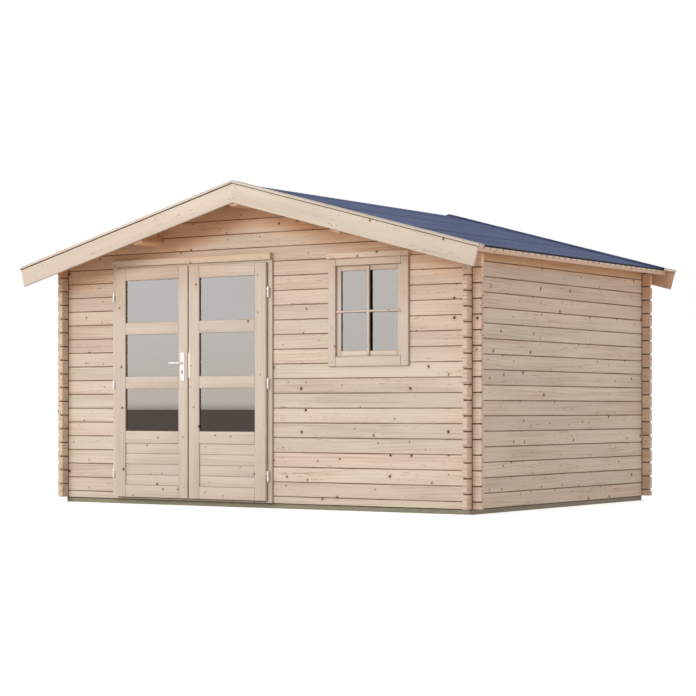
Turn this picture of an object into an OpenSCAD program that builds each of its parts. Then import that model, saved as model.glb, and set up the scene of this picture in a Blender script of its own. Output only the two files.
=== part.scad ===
// Garden log cabin with a felted gable roof, a glazed double door and one window.
// Units are millimetres, +Z is up and the door front faces -Y.
// Inside the modules y = 0 is the front wall's outer face and z = 0 the foot of the logs.

/* [Walls] */
// Outer width of the walls, face to face
wall_w = 3924; // [3600:1:4400]
// Outer depth of the walls, face to face
wall_d = 2890; // [2400:1:3400]
// Height of the side walls above the bearers
wall_h = 1924; // [1800:1:2100]
// Thickness of a log
log_t = 40; // [34:1:50]
// Height of one course of logs
log_h = 114; // [110:1:118]
// Height of the half log that starts the front and back walls
foot_log = 52; // [40:1:60]
// Length of the log ends past the corners
log_out = 75; // [60:1:95]
// Depth of the vee groove along a joint
groove = 6; // [3:0.5:8]
// Bevel at the corners of a log end
end_bevel = 15; // [8:1:20]

/* [Base] */
// Height of the bearers under the walls
bearer_h = 42; // [30:1:70]
// Width of a bearer
bearer_w = 62; // [50:1:90]
// Inset of the bearers from the wall faces
bearer_inset = 15; // [5:1:25]
// Number of joists under the floor
joists = 5; // [3:1:7]
// Thickness of the floor boards
floor_t = 18; // [16:1:28]

/* [Roof] */
// Slope of the roof in degrees
pitch = 15; // [12:0.5:20]
// Thickness of the roof boards
deck_t = 18; // [16:1:24]
// Width of a roof board
board_w = 97; // [80:1:140]
// Depth of the vee under the joints of the roof boards
board_vee = 7; // [3:0.5:8]
// Roof overhang past the side walls
eave_out = 148; // [110:1:220]
// Roof overhang past the front wall
front_out = 278; // [220:1:400]
// Roof overhang past the back wall
rear_out = 131; // [100:1:250]
// Thickness of the felt
felt_t = 4; // [3:0.5:6]
// Depth of the felt's edge turned down at the eaves
felt_turn = 8; // [5:1:15]
// Thickness of a barge board
barge_t = 18; // [15:1:24]
// Height of a barge board, square to the slope
barge_h = 147; // [120:1:170]
// Length of the barge boards past the eaves
barge_past = 72; // [30:1:100]
// Thickness of the verge caps
cap_t = 20; // [14:1:24]
// Width of the verge caps
cap_w = 76; // [60:1:100]
// Lip of the verge caps past the barge boards
cap_lip = 3; // [0:1:8]
// Length of the verge caps past the ends of the barge boards
cap_past = 8; // [0:1:15]
// Width of a purlin
purlin_w = 80; // [56:1:90]
// Depth of a purlin's sides
purlin_h = 146; // [130:1:190]
// Distance of the side purlins from the ridge, at the roof boards
purlin_x = 983; // [800:1:1100]
// Bevel along the lower corners of a purlin
purlin_bevel = 8; // [4:1:14]
// Thickness of the lath under the eaves
lath_t = 24; // [18:1:30]
// Width of the lath under the eaves
lath_w = 45; // [35:1:60]

/* [Doors] */
// Centre of the double door from the cabin's middle
door_x = -620; // [-720:1:-560]
// Drop of the openings' heads from the top of the side walls
head_drop = 48; // [40:1:120]
// Width of one door leaf
leaf_w = 757; // [700:1:780]
// Gap between the leaves
leaf_gap = 10; // [8:1:14]
// Width of the stiles
stile_w = 105; // [90:1:115]
// Width that the lock stile of the left leaf is narrower by
lock_trim = 11; // [0:1:15]
// Height of the rails
rail_h = 98; // [85:1:110]
// Thickness of the lip of a leaf
lip_t = 22; // [18:1:26]
// Lap of the lip over the frame
lip_lap = 15; // [12:1:20]
// Depth of a leaf behind its lip
rebate_t = 18; // [14:1:22]
// Gap between the frame and the leaf behind its lip
rebate_gap = 8; // [6:0.5:10]
// Running gap between the lip and the frame
run_gap = 6; // [5.5:0.5:8]
// Gap between the leaves' top edge and the head of the opening
top_gap = 7; // [5:1:10]
// Depth of the grooves that hold panes and panels
seat = 8; // [5:1:10]
// Thickness of a pane
glass_t = 4; // [3:0.5:6]
// Set-back of the panes from the leaves' face
pane_set = 14; // [12:1:18]
// Thickness of a panel
panel_t = 18; // [14:1:20]
// Set-back of the panels from the leaves' face
panel_set = 10; // [8:1:14]
// Number of boards in a panel
panel_boards = 4; // [2:1:6]
// Depth of the vee along the joints of a panel
panel_vee = 3; // [1:0.5:5]

/* [Door frame] */
// Width of the frame legs seen from the front
frame_w = 55; // [48:1:65]
// Lap of the frame over the ends of the logs
frame_lap = 25; // [18:1:30]
// Projection of frames and casings from the wall
proud = 20; // [16:1:24]
// Height of the frame's face above the head of the opening
frame_rise = 14; // [10:1:20]
// Height of the threshold
sill_t = 10; // [8:1:16]
// Height of the drip board over the door
door_drip_h = 56; // [45:1:70]
// Length of the door's drip board past the frame
door_drip_end = -8; // [-12:1:8]
// Projection of a drip board past the frame below it
drip_out = 16; // [12:1:24]
// Bevel along a drip board's top edge
drip_bevel = 10; // [5:1:14]
// Width and depth of the groove under a drip board
drip_kerf = 4; // [3:0.5:5]

/* [Hardware] */
// Radius of a hinge barrel
barrel_r = 7.5; // [6:0.5:9]
// Height of a hinge barrel
barrel_h = 88; // [70:1:100]
// Height of the tapered tips of a hinge barrel
barrel_tip = 10; // [6:1:14]
// Radius at the end of a tip
tip_r = 3; // [2:0.5:4]
// Distance of the hinge axis from the edge of a leaf
hinge_out = 15; // [12:1:20]
// Depth of the hinge axis behind the leaves' face
hinge_set = 8.5; // [7.5:0.5:12]
// Height of the lowest hinge's middle above the leaf's foot
hinge_low = 192; // [150:1:250]
// Drop of the highest hinge's middle below the leaf's top
hinge_drop = 230; // [180:1:280]
// Drop of the middle hinge's middle below the leaf's middle
hinge_mid = 15; // [0:1:40]
// Radius of a hinge pin
pin_r = 4; // [3:0.5:5]
// Height of the lever above the foot of the logs
lever_z = 1097; // [1000:1:1150]
// Length of the lever
lever_l = 132; // [110:1:145]
// Radius of the lever's bar
lever_r = 7.5; // [6:0.5:9]
// Distance of the lever from the leaf
lever_out = 40; // [35:1:55]
// Radius of the lever's bend
lever_bend = 14; // [10:1:18]
// Width of the handle plate
plate_w = 40; // [34:1:50]
// Thickness of the handle plate
plate_t = 4; // [3:0.5:6]
// Length of the handle plate above the lever
plate_up = 82; // [60:1:100]
// Length of the handle plate below the lever
plate_down = 144; // [110:1:160]
// Radius of the collar round the lever
collar_r = 13; // [11:0.5:16]
// Height of the collar round the lever
collar_h = 7; // [5:0.5:10]
// Drop of the keyhole below the lever
key_drop = 69; // [55:1:85]
// Radius of the keyhole's head
key_r = 8.5; // [7:0.5:9]
// Width of the keyhole's slot
key_slot = 10; // [8:0.5:11]
// Length of the keyhole
key_l = 33; // [28:0.5:36]
// Width of the lock strip on the edge of the right leaf
lock_w = 20; // [14:1:22]
// Width of the lock strip on the face of the right leaf
lock_face = 14; // [10:1:18]
// Thickness of the lock strip
lock_t = 1.5; // [1:0.5:2.5]
// Length of the lock strip below the lever
lock_down = 118; // [90:1:140]

/* [Window] */
// Centre of the window from the cabin's middle
window_x = 1067; // [1010:1:1120]
// Width between the side casings
window_w = 585; // [520:1:640]
// Width of the side casings
casing_w = 67; // [55:1:72]
// Course that the window starts over
sill_course = 9; // [8:1:10]
// Width of the frame's legs behind the casings
lining_w = 30; // [20:1:40]
// Height of the frame's sill
window_sill = 51; // [40:1:60]
// Height of the frame's head
window_head = 61; // [50:1:70]
// Drop of the casings below the frame
casing_drop = 25; // [10:1:40]
// Gap between the top of the casings and the head of the opening
casing_gap = 5; // [0:1:10]
// Width of the sash rails
sash_w = 40; // [34:1:48]
// Set-back of the sash from the wall's inner face
sash_set = 5; // [2:1:10]
// Set-back of the pane from the wall's outer face
window_pane_set = 12; // [10:1:16]
// Width of the upright bar on the sash
bar_w = 21; // [16:1:28]
// Height of the cross bar on the sash
bar_h = 17; // [14:1:24]
// Projection of the bars from the sash
bar_t = 15; // [10:1:18]
// Depth that the bars are let into the sash
bar_let = 3; // [2:1:6]
// Distance of the upright bar's ends from the sash's edges
bar_end = 6; // [0:1:15]
// Drop of the cross bar below the window's middle
bar_drop = 5; // [0:1:30]
// Height of the drip board over the window
window_drip_h = 48; // [40:1:60]
// Length of the window's drip board past the casings
window_drip_end = 8; // [4:1:20]

/* [Hidden] */
$fn = 48;
// Hairline between faces that meet on the slope, and running fit round a pin
bed = 0.02;
pin_run = 0.05;
half_w = wall_w / 2;
run = tan(pitch);
sq = 1 / cos(pitch);
// Roof planes at the middle: top of the boards and underside of the boards
deck_top = wall_h + half_w * run + deck_t * sq;
deck_low = deck_top - deck_t * sq;
eave_x = half_w + eave_out;
roof_y0 = -front_out;
roof_y1 = wall_d + rear_out;
cap_y0 = roof_y0 - barge_t - cap_lip;
cap_y1 = roof_y1 + barge_t + cap_lip;
y_mid = (roof_y0 + roof_y1) / 2;
end_x = half_w + log_out;
// Joints of the front and back logs, and of the side logs half a course higher
front_joints = [for (k = [0 : 30]) foot_log + k * log_h];
side_joints = [for (k = [0 : 30]) foot_log + (k + 0.5) * log_h];
head_z = wall_h - head_drop;
sill_z = foot_log + sill_course * log_h;
// Door
leaf_z0 = sill_t + run_gap;
leaf_z1 = head_z - top_gap;
leaf_h = leaf_z1 - leaf_z0;
door_half = leaf_w + leaf_gap / 2;
left_x = door_x - door_half + lock_trim;
right_x = door_x + leaf_gap / 2;
frame_in = door_half - lip_lap;
frame_left = door_x - frame_in + lock_trim;
frame_right = door_x + frame_in;
frame_out = frame_in + frame_w;
door_hole = frame_out - frame_lap;
lip_y1 = -proud - run_gap;
lip_y0 = lip_y1 - lip_t;
leaf_y1 = lip_y1 + rebate_t;
pane_y = lip_y0 + pane_set;
panel_y = lip_y0 + panel_set;
field_h = (leaf_h - 5 * rail_h) / 4;
// Hardware
hinge_x = door_half + hinge_out;
hinge_y = lip_y0 + hinge_set;
hinge_zs = [for (z = [leaf_z0 + hinge_low, leaf_z0 + leaf_h / 2 - hinge_mid, leaf_z1 - hinge_drop])
    z - barrel_h / 2];
plate_x = door_x - leaf_gap / 2 - stile_w / 2;
plate_y = lip_y0 - plate_t;
plate_skin = 1;
end_run = 0.5;
// Window
window_x0 = window_x - window_w / 2;
window_x1 = window_x + window_w / 2;
hole_x0 = window_x0 - lining_w;
hole_x1 = window_x1 + lining_w;
window_z0 = sill_z + window_sill;
window_z1 = head_z - window_head;
casing_z0 = sill_z - casing_drop;
casing_z1 = head_z - casing_gap;

spruce = [0.84, 0.73, 0.6];
treated = [0.42, 0.41, 0.33];
slate = [0.3, 0.36, 0.5];
steel = [0.78, 0.78, 0.76];
pane = [0.62, 0.66, 0.68, 0.45];

// Moves the cabin from the wall frame to the part's origin
module place() {
    translate([0, -y_mid, bearer_h])
        children();
}

// A box between two corners
module span(a, b) {
    translate(a)
        cube(b - a);
}

// Extrudes an outline drawn in x and z along y
module along_y(y0, y1) {
    translate([0, y1, 0])
        rotate([90, 0, 0])
            linear_extrude(y1 - y0)
                children();
}

// Extrudes an outline drawn in y and z along x
module along_x(x0, x1) {
    translate([x0, 0, 0])
        rotate([90, 0, 90])
            linear_extrude(x1 - x0)
                children();
}

// Bar along x, turned on its edge, that cuts a vee
module vee(length, depth) {
    rotate([45, 0, 0])
        cube([length, depth * sqrt(2), depth * sqrt(2)], center = true);
}

// Height of whatever carries the roof boards
function roof_low(x) = deck_low - bed - abs(x) * run;

function below(joints, top) = [for (z = joints) if (z < top) z];

// Section through a wall of logs, with a vee along each joint on both faces
function log_section(joints, top0, top1) = concat(
    [[0, 0]],
    [for (z = joints) each [[0, z - groove], [groove, z], [0, z + groove]]],
    [[0, top0], [log_t, top1]],
    [for (i = [len(joints) - 1 : -1 : 0]) each [[log_t, joints[i] + groove],
        [log_t - groove, joints[i]], [log_t, joints[i] - groove]]],
    [[log_t, 0]]);

// Bevelled log ends up one edge of a wall
function log_ends(x, bevel, joints) = [for (z = joints) each [[x, z - end_bevel],
    [x - bevel, z], [x, z + end_bevel]]];

function upside(points) = [for (i = [len(points) - 1 : -1 : 0]) points[i]];

// Gable outline of the front and back walls
module gable_outline() {
    ends = below(front_joints, roof_low(end_x) - end_bevel);
    polygon(concat([[end_x, 0]], log_ends(end_x, end_bevel, ends), [[end_x, roof_low(end_x)],
        [0, roof_low(0)], [-end_x, roof_low(end_x)]], upside(log_ends(-end_x, -end_bevel, ends)),
        [[-end_x, 0]]));
}

// Outline of a side wall; its top is left to the section
module side_outline() {
    ends = below(side_joints, wall_h - end_bevel);
    far = wall_d + log_out;
    polygon(concat([[far, 0]], log_ends(far, end_bevel, ends), [[far, deck_low],
        [-log_out, deck_low]], upside(log_ends(-log_out, -end_bevel, ends)), [[-log_out, 0]]));
}

// Slots cut half way into each log where the walls cross
module lap_slots(joints, x0, y0, top) {
    for (z = below(joints, top + log_h / 2))
        span([x0, y0, max(-1, z - log_h / 4)], [x0 + log_t, y0 + log_t, z + log_h / 4]);
}

module corner_slots(joints, y0) {
    lap_slots(joints, half_w - log_t, y0, deck_low);
    lap_slots(joints, -half_w, y0, deck_low);
}

// Section of a purlin with bevelled lower corners under its top points, wider all round by a fit
module purlin_section(tops, fit = 0) {
    h = purlin_w / 2 + fit;
    low = -purlin_h - fit;
    polygon(concat([[-h, low + purlin_bevel], [-h + purlin_bevel, low], [h - purlin_bevel, low],
        [h, low + purlin_bevel]], tops));
}

// Place of a side purlin, square to the slope and under the roof boards
module purlin_place(side)
    translate([side * purlin_x, roof_low(purlin_x)])
        rotate(-side * pitch)
            children();

module side_purlin(side) {
    h = purlin_w / 2;
    along_y(roof_y0, roof_y1)
        purlin_place(side)
            purlin_section([[h, 0], [-h, 0]]);
}

// Seats of the purlins in the gables, open at the top
module purlin_seats(y0, y1) {
    h = purlin_w / 2 + bed;
    top = deck_t + cap_t + purlin_w;
    along_y(y0, y1) {
        translate([0, roof_low(purlin_w / 2)])
            purlin_section([[h, top], [-h, top]], bed);
        for (side = [-1, 1])
            purlin_place(side)
                purlin_section([[h, top], [-h, top]], bed);
    }
}

// Front wall of logs between two places along it and two heights
module front_part(x0, x1, z0, z1) {
    difference() {
        intersection() {
            along_x(x0, x1)
                polygon(log_section(below(front_joints, deck_low - 3 * groove), deck_top, deck_top));
            along_y(-1, log_t + 1)
                gable_outline();
            span([x0, -1, z0], [x1, log_t + 1, z1]);
        }
        corner_slots(front_joints, 0);
        purlin_seats(-1, log_t + 1);
    }
}

// Side wall with its top planed to the slope of the roof
module side_part(x0) {
    difference() {
        intersection() {
            translate([x0, 0, 0])
                along_y(-log_out, wall_d + log_out)
                    polygon(log_section(below(side_joints, wall_h - 3 * groove), roof_low(x0),
                        roof_low(x0 + log_t)));
            along_x(x0 - 1, x0 + log_t + 1)
                side_outline();
        }
        span([x0, 0, -1], [x0 + log_t, log_t, foot_log - log_h / 4]);
        span([x0, wall_d - log_t, -1], [x0 + log_t, wall_d, foot_log - log_h / 4]);
        lap_slots(side_joints, x0, 0, wall_h);
        lap_slots(side_joints, x0, wall_d - log_t, wall_h);
    }
}

// Board that lies along one slope: from the ridge to a distance along x, between two depths
module slope_board(side, reach, top, low) {
    a = reach * sq;
    polygon([[0, deck_top + top * sq], side_point(side, a, top), side_point(side, a, low),
        [0, deck_top + low * sq]]);
}

// Point at a distance along the slope and a height square to it
function side_point(side, a, h) = [side * (a * cos(pitch) + h * sin(pitch)),
    deck_top - a * sin(pitch) + h * cos(pitch)];

// Base and walls
module long_bearers() {
    color(treated)
        place()
            for (y = [bearer_inset, wall_d - bearer_inset - bearer_w])
                span([bearer_inset - half_w, y, -bearer_h], [half_w - bearer_inset, y + bearer_w, 0]);
}

module side_bearers() {
    color(treated)
        place()
            for (x = [bearer_inset - half_w, half_w - bearer_inset - bearer_w])
                span([x, bearer_inset + bearer_w, -bearer_h],
                    [x + bearer_w, wall_d - bearer_inset - bearer_w, 0]);
}

module floor_joists() {
    color(treated)
        place()
            for (k = [1 : joists]) {
                x = k * wall_w / (joists + 1) - half_w - bearer_w / 2;
                span([x, bearer_inset + bearer_w, -bearer_h],
                    [x + bearer_w, wall_d - bearer_inset - bearer_w, 0]);
            }
}

module floor_boards() {
    color(spruce)
        place()
            span([log_t - half_w, log_t, 0], [half_w - log_t, wall_d - log_t, floor_t]);
}

module front_wall_left() {
    color(spruce)
        place()
            front_part(-end_x, door_x - door_hole, 0, head_z);
}

module front_wall_middle() {
    color(spruce)
        place()
            front_part(door_x + door_hole, hole_x0, 0, head_z);
}

module front_wall_under_window() {
    color(spruce)
        place()
            front_part(hole_x0, hole_x1, 0, sill_z);
}

module front_wall_right() {
    color(spruce)
        place()
            front_part(hole_x1, end_x, 0, head_z);
}

module front_gable() {
    color(spruce)
        place()
            front_part(-end_x, end_x, head_z, deck_top);
}

module left_wall() {
    color(spruce)
        place()
            side_part(-half_w);
}

module right_wall() {
    color(spruce)
        place()
            side_part(half_w - log_t);
}

module back_wall() {
    color(spruce)
        place()
            translate([0, wall_d - log_t, 0])
                front_part(-end_x, end_x, 0, deck_top);
}

// Roof
module ridge_purlin() {
    h = purlin_w / 2;
    color(spruce)
        place()
            along_y(roof_y0, roof_y1)
                translate([0, roof_low(h)])
                    purlin_section([[h, 0], [0, h * run], [-h, 0]]);
}

module left_purlin() {
    color(spruce)
        place()
            side_purlin(-1);
}

module right_purlin() {
    color(spruce)
        place()
            side_purlin(1);
}

// Boards down one slope, with a vee under each joint
module roof_boards(side) {
    boards = round((roof_y1 - roof_y0) / board_w);
    step = (roof_y1 - roof_y0) / boards;
    difference() {
        along_y(roof_y0, roof_y1)
            slope_board(side, eave_x, 0, -deck_t);
        translate([0, 0, deck_top])
            rotate([0, side * pitch, 0])
                for (k = [1 : boards - 1])
                    translate([0, roof_y0 + k * step, -deck_t])
                        vee(3 * eave_x, board_vee);
    }
}

module left_roof_boards() {
    color(spruce)
        place()
            roof_boards(-1);
}

module right_roof_boards() {
    color(spruce)
        place()
            roof_boards(1);
}

// Felt with a turned-down edge at the eave
module felt(side) {
    a = eave_x * sq;
    along_y(cap_y0 + cap_w, cap_y1 - cap_w)
        polygon([[0, deck_top], [0, deck_top + felt_t * sq], side_point(side, a + felt_t, felt_t),
            side_point(side, a + felt_t, -felt_turn), side_point(side, a, -felt_turn),
            side_point(side, a, 0)]);
}

module left_felt() {
    color(slate)
        place()
            felt(-1);
}

module right_felt() {
    color(slate)
        place()
            felt(1);
}

module eave_laths() {
    a = eave_x * sq;
    top = -deck_t - bed;
    color(spruce)
        place()
            for (side = [-1, 1])
                along_y(roof_y0, roof_y1)
                    polygon([side_point(side, a, top), side_point(side, a, top - lath_t),
                        side_point(side, a - lath_w, top - lath_t), side_point(side, a - lath_w, top)]);
}

module barge(side, y0) {
    along_y(y0, y0 + barge_t)
        slope_board(side, eave_x + barge_past, 0, -barge_h);
}

module front_left_barge() {
    color(spruce)
        place()
            barge(-1, roof_y0 - barge_t);
}

module front_right_barge() {
    color(spruce)
        place()
            barge(1, roof_y0 - barge_t);
}

module rear_left_barge() {
    color(spruce)
        place()
            barge(-1, roof_y1);
}

module rear_right_barge() {
    color(spruce)
        place()
            barge(1, roof_y1);
}

// Caps over the barge boards, mitred at the ridge
module caps(y0) {
    along_y(y0, y0 + cap_w)
        for (side = [-1, 1])
            slope_board(side, eave_x + barge_past + cap_past, bed + cap_t, bed);
}

module front_caps() {
    color(spruce)
        place()
            caps(cap_y0);
}

module rear_caps() {
    color(spruce)
        place()
            caps(cap_y1 - cap_w);
}

// Door frame
module jamb(side) {
    x0 = side < 0 ? frame_left : frame_right;
    x1 = door_x + side * frame_out;
    x2 = door_x + side * door_hole;
    span([min(x0, x1), -proud, 0], [max(x0, x1), 0, head_z + frame_rise]);
    span([min(x0, x2), 0, 0], [max(x0, x2), log_t, head_z]);
}

module door_jambs() {
    color(spruce)
        place() {
            jamb(-1);
            jamb(1);
        }
}

module door_head() {
    low = leaf_z1 - lip_lap;
    color(spruce)
        place() {
            span([frame_left, -proud, low], [frame_right, 0, head_z + frame_rise]);
            span([frame_left, 0, low], [frame_right, log_t, head_z]);
        }
}

module door_threshold() {
    color(spruce)
        place()
            span([frame_left, -proud, 0], [frame_right, log_t, sill_t]);
}

// Drip board with a bevelled top edge and a groove under its front edge
module drip_board(x0, x1, z0, h) {
    y0 = -proud - drip_out;
    y1 = y0 + drip_kerf;
    y2 = y1 + drip_kerf;
    along_x(x0, x1)
        polygon([[0, z0], [0, z0 + h], [y0 + drip_bevel, z0 + h], [y0, z0 + h - drip_bevel], [y0, z0],
            [y1, z0], [y1, z0 + drip_kerf], [y2, z0 + drip_kerf], [y2, z0]]);
}

module door_drip_board() {
    half = frame_out + door_drip_end;
    color(spruce)
        place()
            drip_board(door_x - half, door_x + half, head_z + frame_rise, door_drip_h);
}

// Fields between the rails of a leaf, let into the frame by a depth
module leaf_fields(x0, y0, y1, first, last, depth) {
    for (k = [first : last]) {
        z = leaf_z0 + rail_h + k * (field_h + rail_h);
        span([x0 + stile_w - depth, y0, z - depth],
            [x0 + leaf_w - stile_w + depth, y1, z + field_h + depth]);
    }
}

module panel_seat(x0) {
    leaf_fields(x0, panel_y, panel_y + panel_t, 0, 0, seat);
}

// Level boards with a vee along each joint
module leaf_panel(x0) {
    z0 = leaf_z0 + rail_h;
    difference() {
        panel_seat(x0);
        for (k = [1 : panel_boards - 1])
            translate([x0 + leaf_w / 2, panel_y, z0 + k * field_h / panel_boards])
                vee(leaf_w, panel_vee);
    }
}

module leaf_glass(x0) {
    leaf_fields(x0, pane_y, pane_y + glass_t, 1, 3, seat);
}

// Stiles and rails with a lip in front and grooves for the panel and the panes
module leaf(x0, x1, inset_left, inset_right) {
    inset = lip_lap + rebate_gap;
    difference() {
        union() {
            span([x0, lip_y0, leaf_z0], [x1, lip_y1, leaf_z1]);
            span([x0 + inset_left * inset, lip_y1, leaf_z0],
                [x1 - inset_right * inset, leaf_y1, leaf_z1 - inset]);
        }
        leaf_fields(x0, lip_y0 - 1, leaf_y1 + 1, 0, 3, 0);
        panel_seat(x0);
        leaf_glass(x0);
    }
}

module left_leaf() {
    color(spruce)
        place()
            leaf(left_x, door_x - leaf_gap / 2, 1, 0);
}

module left_leaf_panel() {
    color(spruce)
        place()
            leaf_panel(left_x);
}

module left_leaf_glass() {
    color(pane)
        place()
            leaf_glass(left_x);
}

module right_leaf() {
    color(spruce)
        place()
            leaf(right_x, right_x + leaf_w, 0, 1);
}

module right_leaf_panel() {
    color(spruce)
        place()
            leaf_panel(right_x);
}

module right_leaf_glass() {
    color(pane)
        place()
            leaf_glass(right_x);
}

// Lower knuckle with the pin, screwed to the frame
module frame_knuckle(x, z) {
    translate([x, hinge_y, z]) {
        cylinder(r1 = tip_r, r2 = barrel_r, h = barrel_tip);
        translate([0, 0, barrel_tip]) {
            cylinder(r = barrel_r, h = barrel_h / 2 - end_run - barrel_tip);
            cylinder(r = pin_r, h = barrel_h - 3 * barrel_tip);
        }
        translate([0, 0, barrel_h / 4])
            rotate([-90, 0, 0])
                cylinder(r = pin_r, h = -proud - hinge_y);
    }
}

// Upper knuckle that turns on the pin, screwed to the edge of the leaf
module leaf_knuckle(x, z, side, arm) {
    translate([x, hinge_y, z])
        difference() {
            union() {
                translate([0, 0, barrel_h / 2])
                    cylinder(r = barrel_r, h = barrel_h / 2 - barrel_tip);
                translate([0, 0, barrel_h - barrel_tip])
                    cylinder(r1 = barrel_r, r2 = tip_r, h = barrel_tip);
                translate([0, 0, barrel_h * 0.75])
                    rotate([0, side * 90, 0])
                        cylinder(r = pin_r, h = arm);
            }
            translate([0, 0, barrel_h / 2 - 1])
                cylinder(r = pin_r + pin_run, h = barrel_h / 2 + 1 - 1.5 * barrel_tip);
        }
}

module frame_hinges() {
    color(steel)
        place()
            for (z = hinge_zs) {
                frame_knuckle(door_x - hinge_x, z);
                frame_knuckle(door_x + hinge_x, z);
            }
}

module left_leaf_hinges() {
    color(steel)
        place()
            for (z = hinge_zs)
                leaf_knuckle(door_x - hinge_x, z, 1, hinge_out + lock_trim);
}

module right_leaf_hinges() {
    color(steel)
        place()
            for (z = hinge_zs)
                leaf_knuckle(door_x + hinge_x, z, -1, hinge_out);
}

// Round bar that points away from the leaf
module toward_front(r, h) {
    rotate([90, 0, 0])
        cylinder(r = r, h = h);
}

// Keyhole of a profile cylinder: a round head over a slot with a round foot
module keyhole(h) {
    foot_r = key_slot / 2;
    drop = key_l - key_r - foot_r;
    toward_front(key_r, h);
    translate([0, 0, -drop])
        toward_front(foot_r, h);
    span([-foot_r, -h, -drop], [foot_r, 0, 0]);
}

// Long plate with the collar that carries the lever
module handle_plate() {
    h = plate_w / 2;
    z0 = lever_z - plate_down;
    z1 = lever_z + plate_up;
    key_z = lever_z - key_drop;
    color(steel)
        place()
            difference() {
                union() {
                    along_y(plate_y, lip_y0)
                        polygon([[plate_x - h, z0 + plate_t], [plate_x - h + plate_t, z0],
                            [plate_x + h - plate_t, z0], [plate_x + h, z0 + plate_t],
                            [plate_x + h, z1 - plate_t], [plate_x + h - plate_t, z1],
                            [plate_x - h + plate_t, z1], [plate_x - h, z1 - plate_t]]);
                    translate([plate_x, plate_y, lever_z])
                        toward_front(collar_r, collar_h);
                }
                translate([plate_x, lip_y0 - plate_skin, lever_z])
                    toward_front(lever_r + pin_run, lever_out);
                translate([plate_x, lip_y0 - plate_skin, key_z])
                    keyhole(plate_t);
            }
}

// Lever bent from one round bar: neck, quarter bend and arm
module lever() {
    neck = lever_out - plate_skin - end_run - lever_bend;
    arm = lever_l - lever_bend - lever_r / 2;
    color(steel)
        place()
            translate([plate_x, lip_y0 - plate_skin - end_run, lever_z]) {
                toward_front(lever_r, neck);
                translate([-lever_bend, -neck, 0])
                    rotate([0, 0, -90])
                        rotate_extrude(angle = 90)
                            translate([lever_bend, 0])
                                circle(lever_r);
                translate([-lever_bend, -neck - lever_bend, 0])
                    rotate([0, -90, 0]) {
                        cylinder(r = lever_r, h = arm);
                        translate([0, 0, arm])
                            cylinder(r1 = lever_r, r2 = lever_r / 2, h = lever_r / 2);
                    }
            }
}

// Lock plate bent round the meeting edge of the right leaf
module lock_strip() {
    x0 = right_x - lock_t;
    y0 = lip_y0 - lock_t;
    z0 = lever_z - lock_down;
    z1 = lever_z + plate_up;
    color(steel)
        place() {
            span([x0, y0, z0], [right_x + lock_face, lip_y0, z1]);
            span([x0, y0, z0], [right_x, lip_y0 + lock_w, z1]);
        }
}

// Window
module window_frame() {
    color(spruce)
        place()
            difference() {
                span([hole_x0, 0, sill_z], [hole_x1, log_t, head_z]);
                span([window_x0, -1, window_z0], [window_x1, log_t + 1, window_z1]);
            }
}

// Sash with crossed bars planted on its face
module window_sash() {
    bar_z = (window_z0 + window_z1) / 2 - bar_drop;
    color(spruce)
        place() {
            difference() {
                span([window_x0, 0, window_z0], [window_x1, log_t - sash_set, window_z1]);
                span([window_x0 + sash_w, -1, window_z0 + sash_w],
                    [window_x1 - sash_w, log_t, window_z1 - sash_w]);
                window_pane();
            }
            span([window_x - bar_w / 2, -bar_t, window_z0 + bar_end],
                [window_x + bar_w / 2, bar_let, window_z1 - bar_end]);
            span([window_x0, -bar_t, bar_z - bar_h / 2], [window_x1, bar_let, bar_z + bar_h / 2]);
        }
}

// Pane let into a groove round the sash
module window_pane() {
    e = sash_w - seat;
    span([window_x0 + e, window_pane_set, window_z0 + e],
        [window_x1 - e, window_pane_set + glass_t, window_z1 - e]);
}

module window_glass() {
    color(pane)
        place()
            window_pane();
}

module window_side_casings() {
    color(spruce)
        place()
            for (x = [window_x0 - casing_w, window_x1])
                span([x, -proud, casing_z0], [x + casing_w, 0, casing_z1]);
}

module window_cross_casings() {
    color(spruce)
        place() {
            span([window_x0, -proud, casing_z0], [window_x1, 0, window_z0]);
            span([window_x0, -proud, window_z1], [window_x1, 0, casing_z1]);
        }
}

module window_drip_board() {
    e = casing_w + window_drip_end;
    color(spruce)
        place()
            drip_board(window_x0 - e, window_x1 + e, casing_z1, window_drip_h);
}

long_bearers();
side_bearers();
floor_joists();
floor_boards();
front_wall_left();
front_wall_middle();
front_wall_under_window();
front_wall_right();
front_gable();
left_wall();
right_wall();
back_wall();
ridge_purlin();
left_purlin();
right_purlin();
left_roof_boards();
right_roof_boards();
left_felt();
right_felt();
eave_laths();
front_left_barge();
front_right_barge();
rear_left_barge();
rear_right_barge();
front_caps();
rear_caps();
door_jambs();
door_head();
door_threshold();
door_drip_board();
left_leaf();
left_leaf_panel();
left_leaf_glass();
right_leaf();
right_leaf_panel();
right_leaf_glass();
frame_hinges();
left_leaf_hinges();
right_leaf_hinges();
handle_plate();
lever();
lock_strip();
window_frame();
window_sash();
window_glass();
window_side_casings();
window_cross_casings();
window_drip_board();
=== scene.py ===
"""Garden log cabin: boards, joinery, fittings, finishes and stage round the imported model."""

import math
from contextlib import contextmanager

import bmesh
import bpy
import numpy as np
from bpy.props import FloatProperty, FloatVectorProperty, IntProperty, PointerProperty
from mathutils import Matrix, Vector

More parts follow.
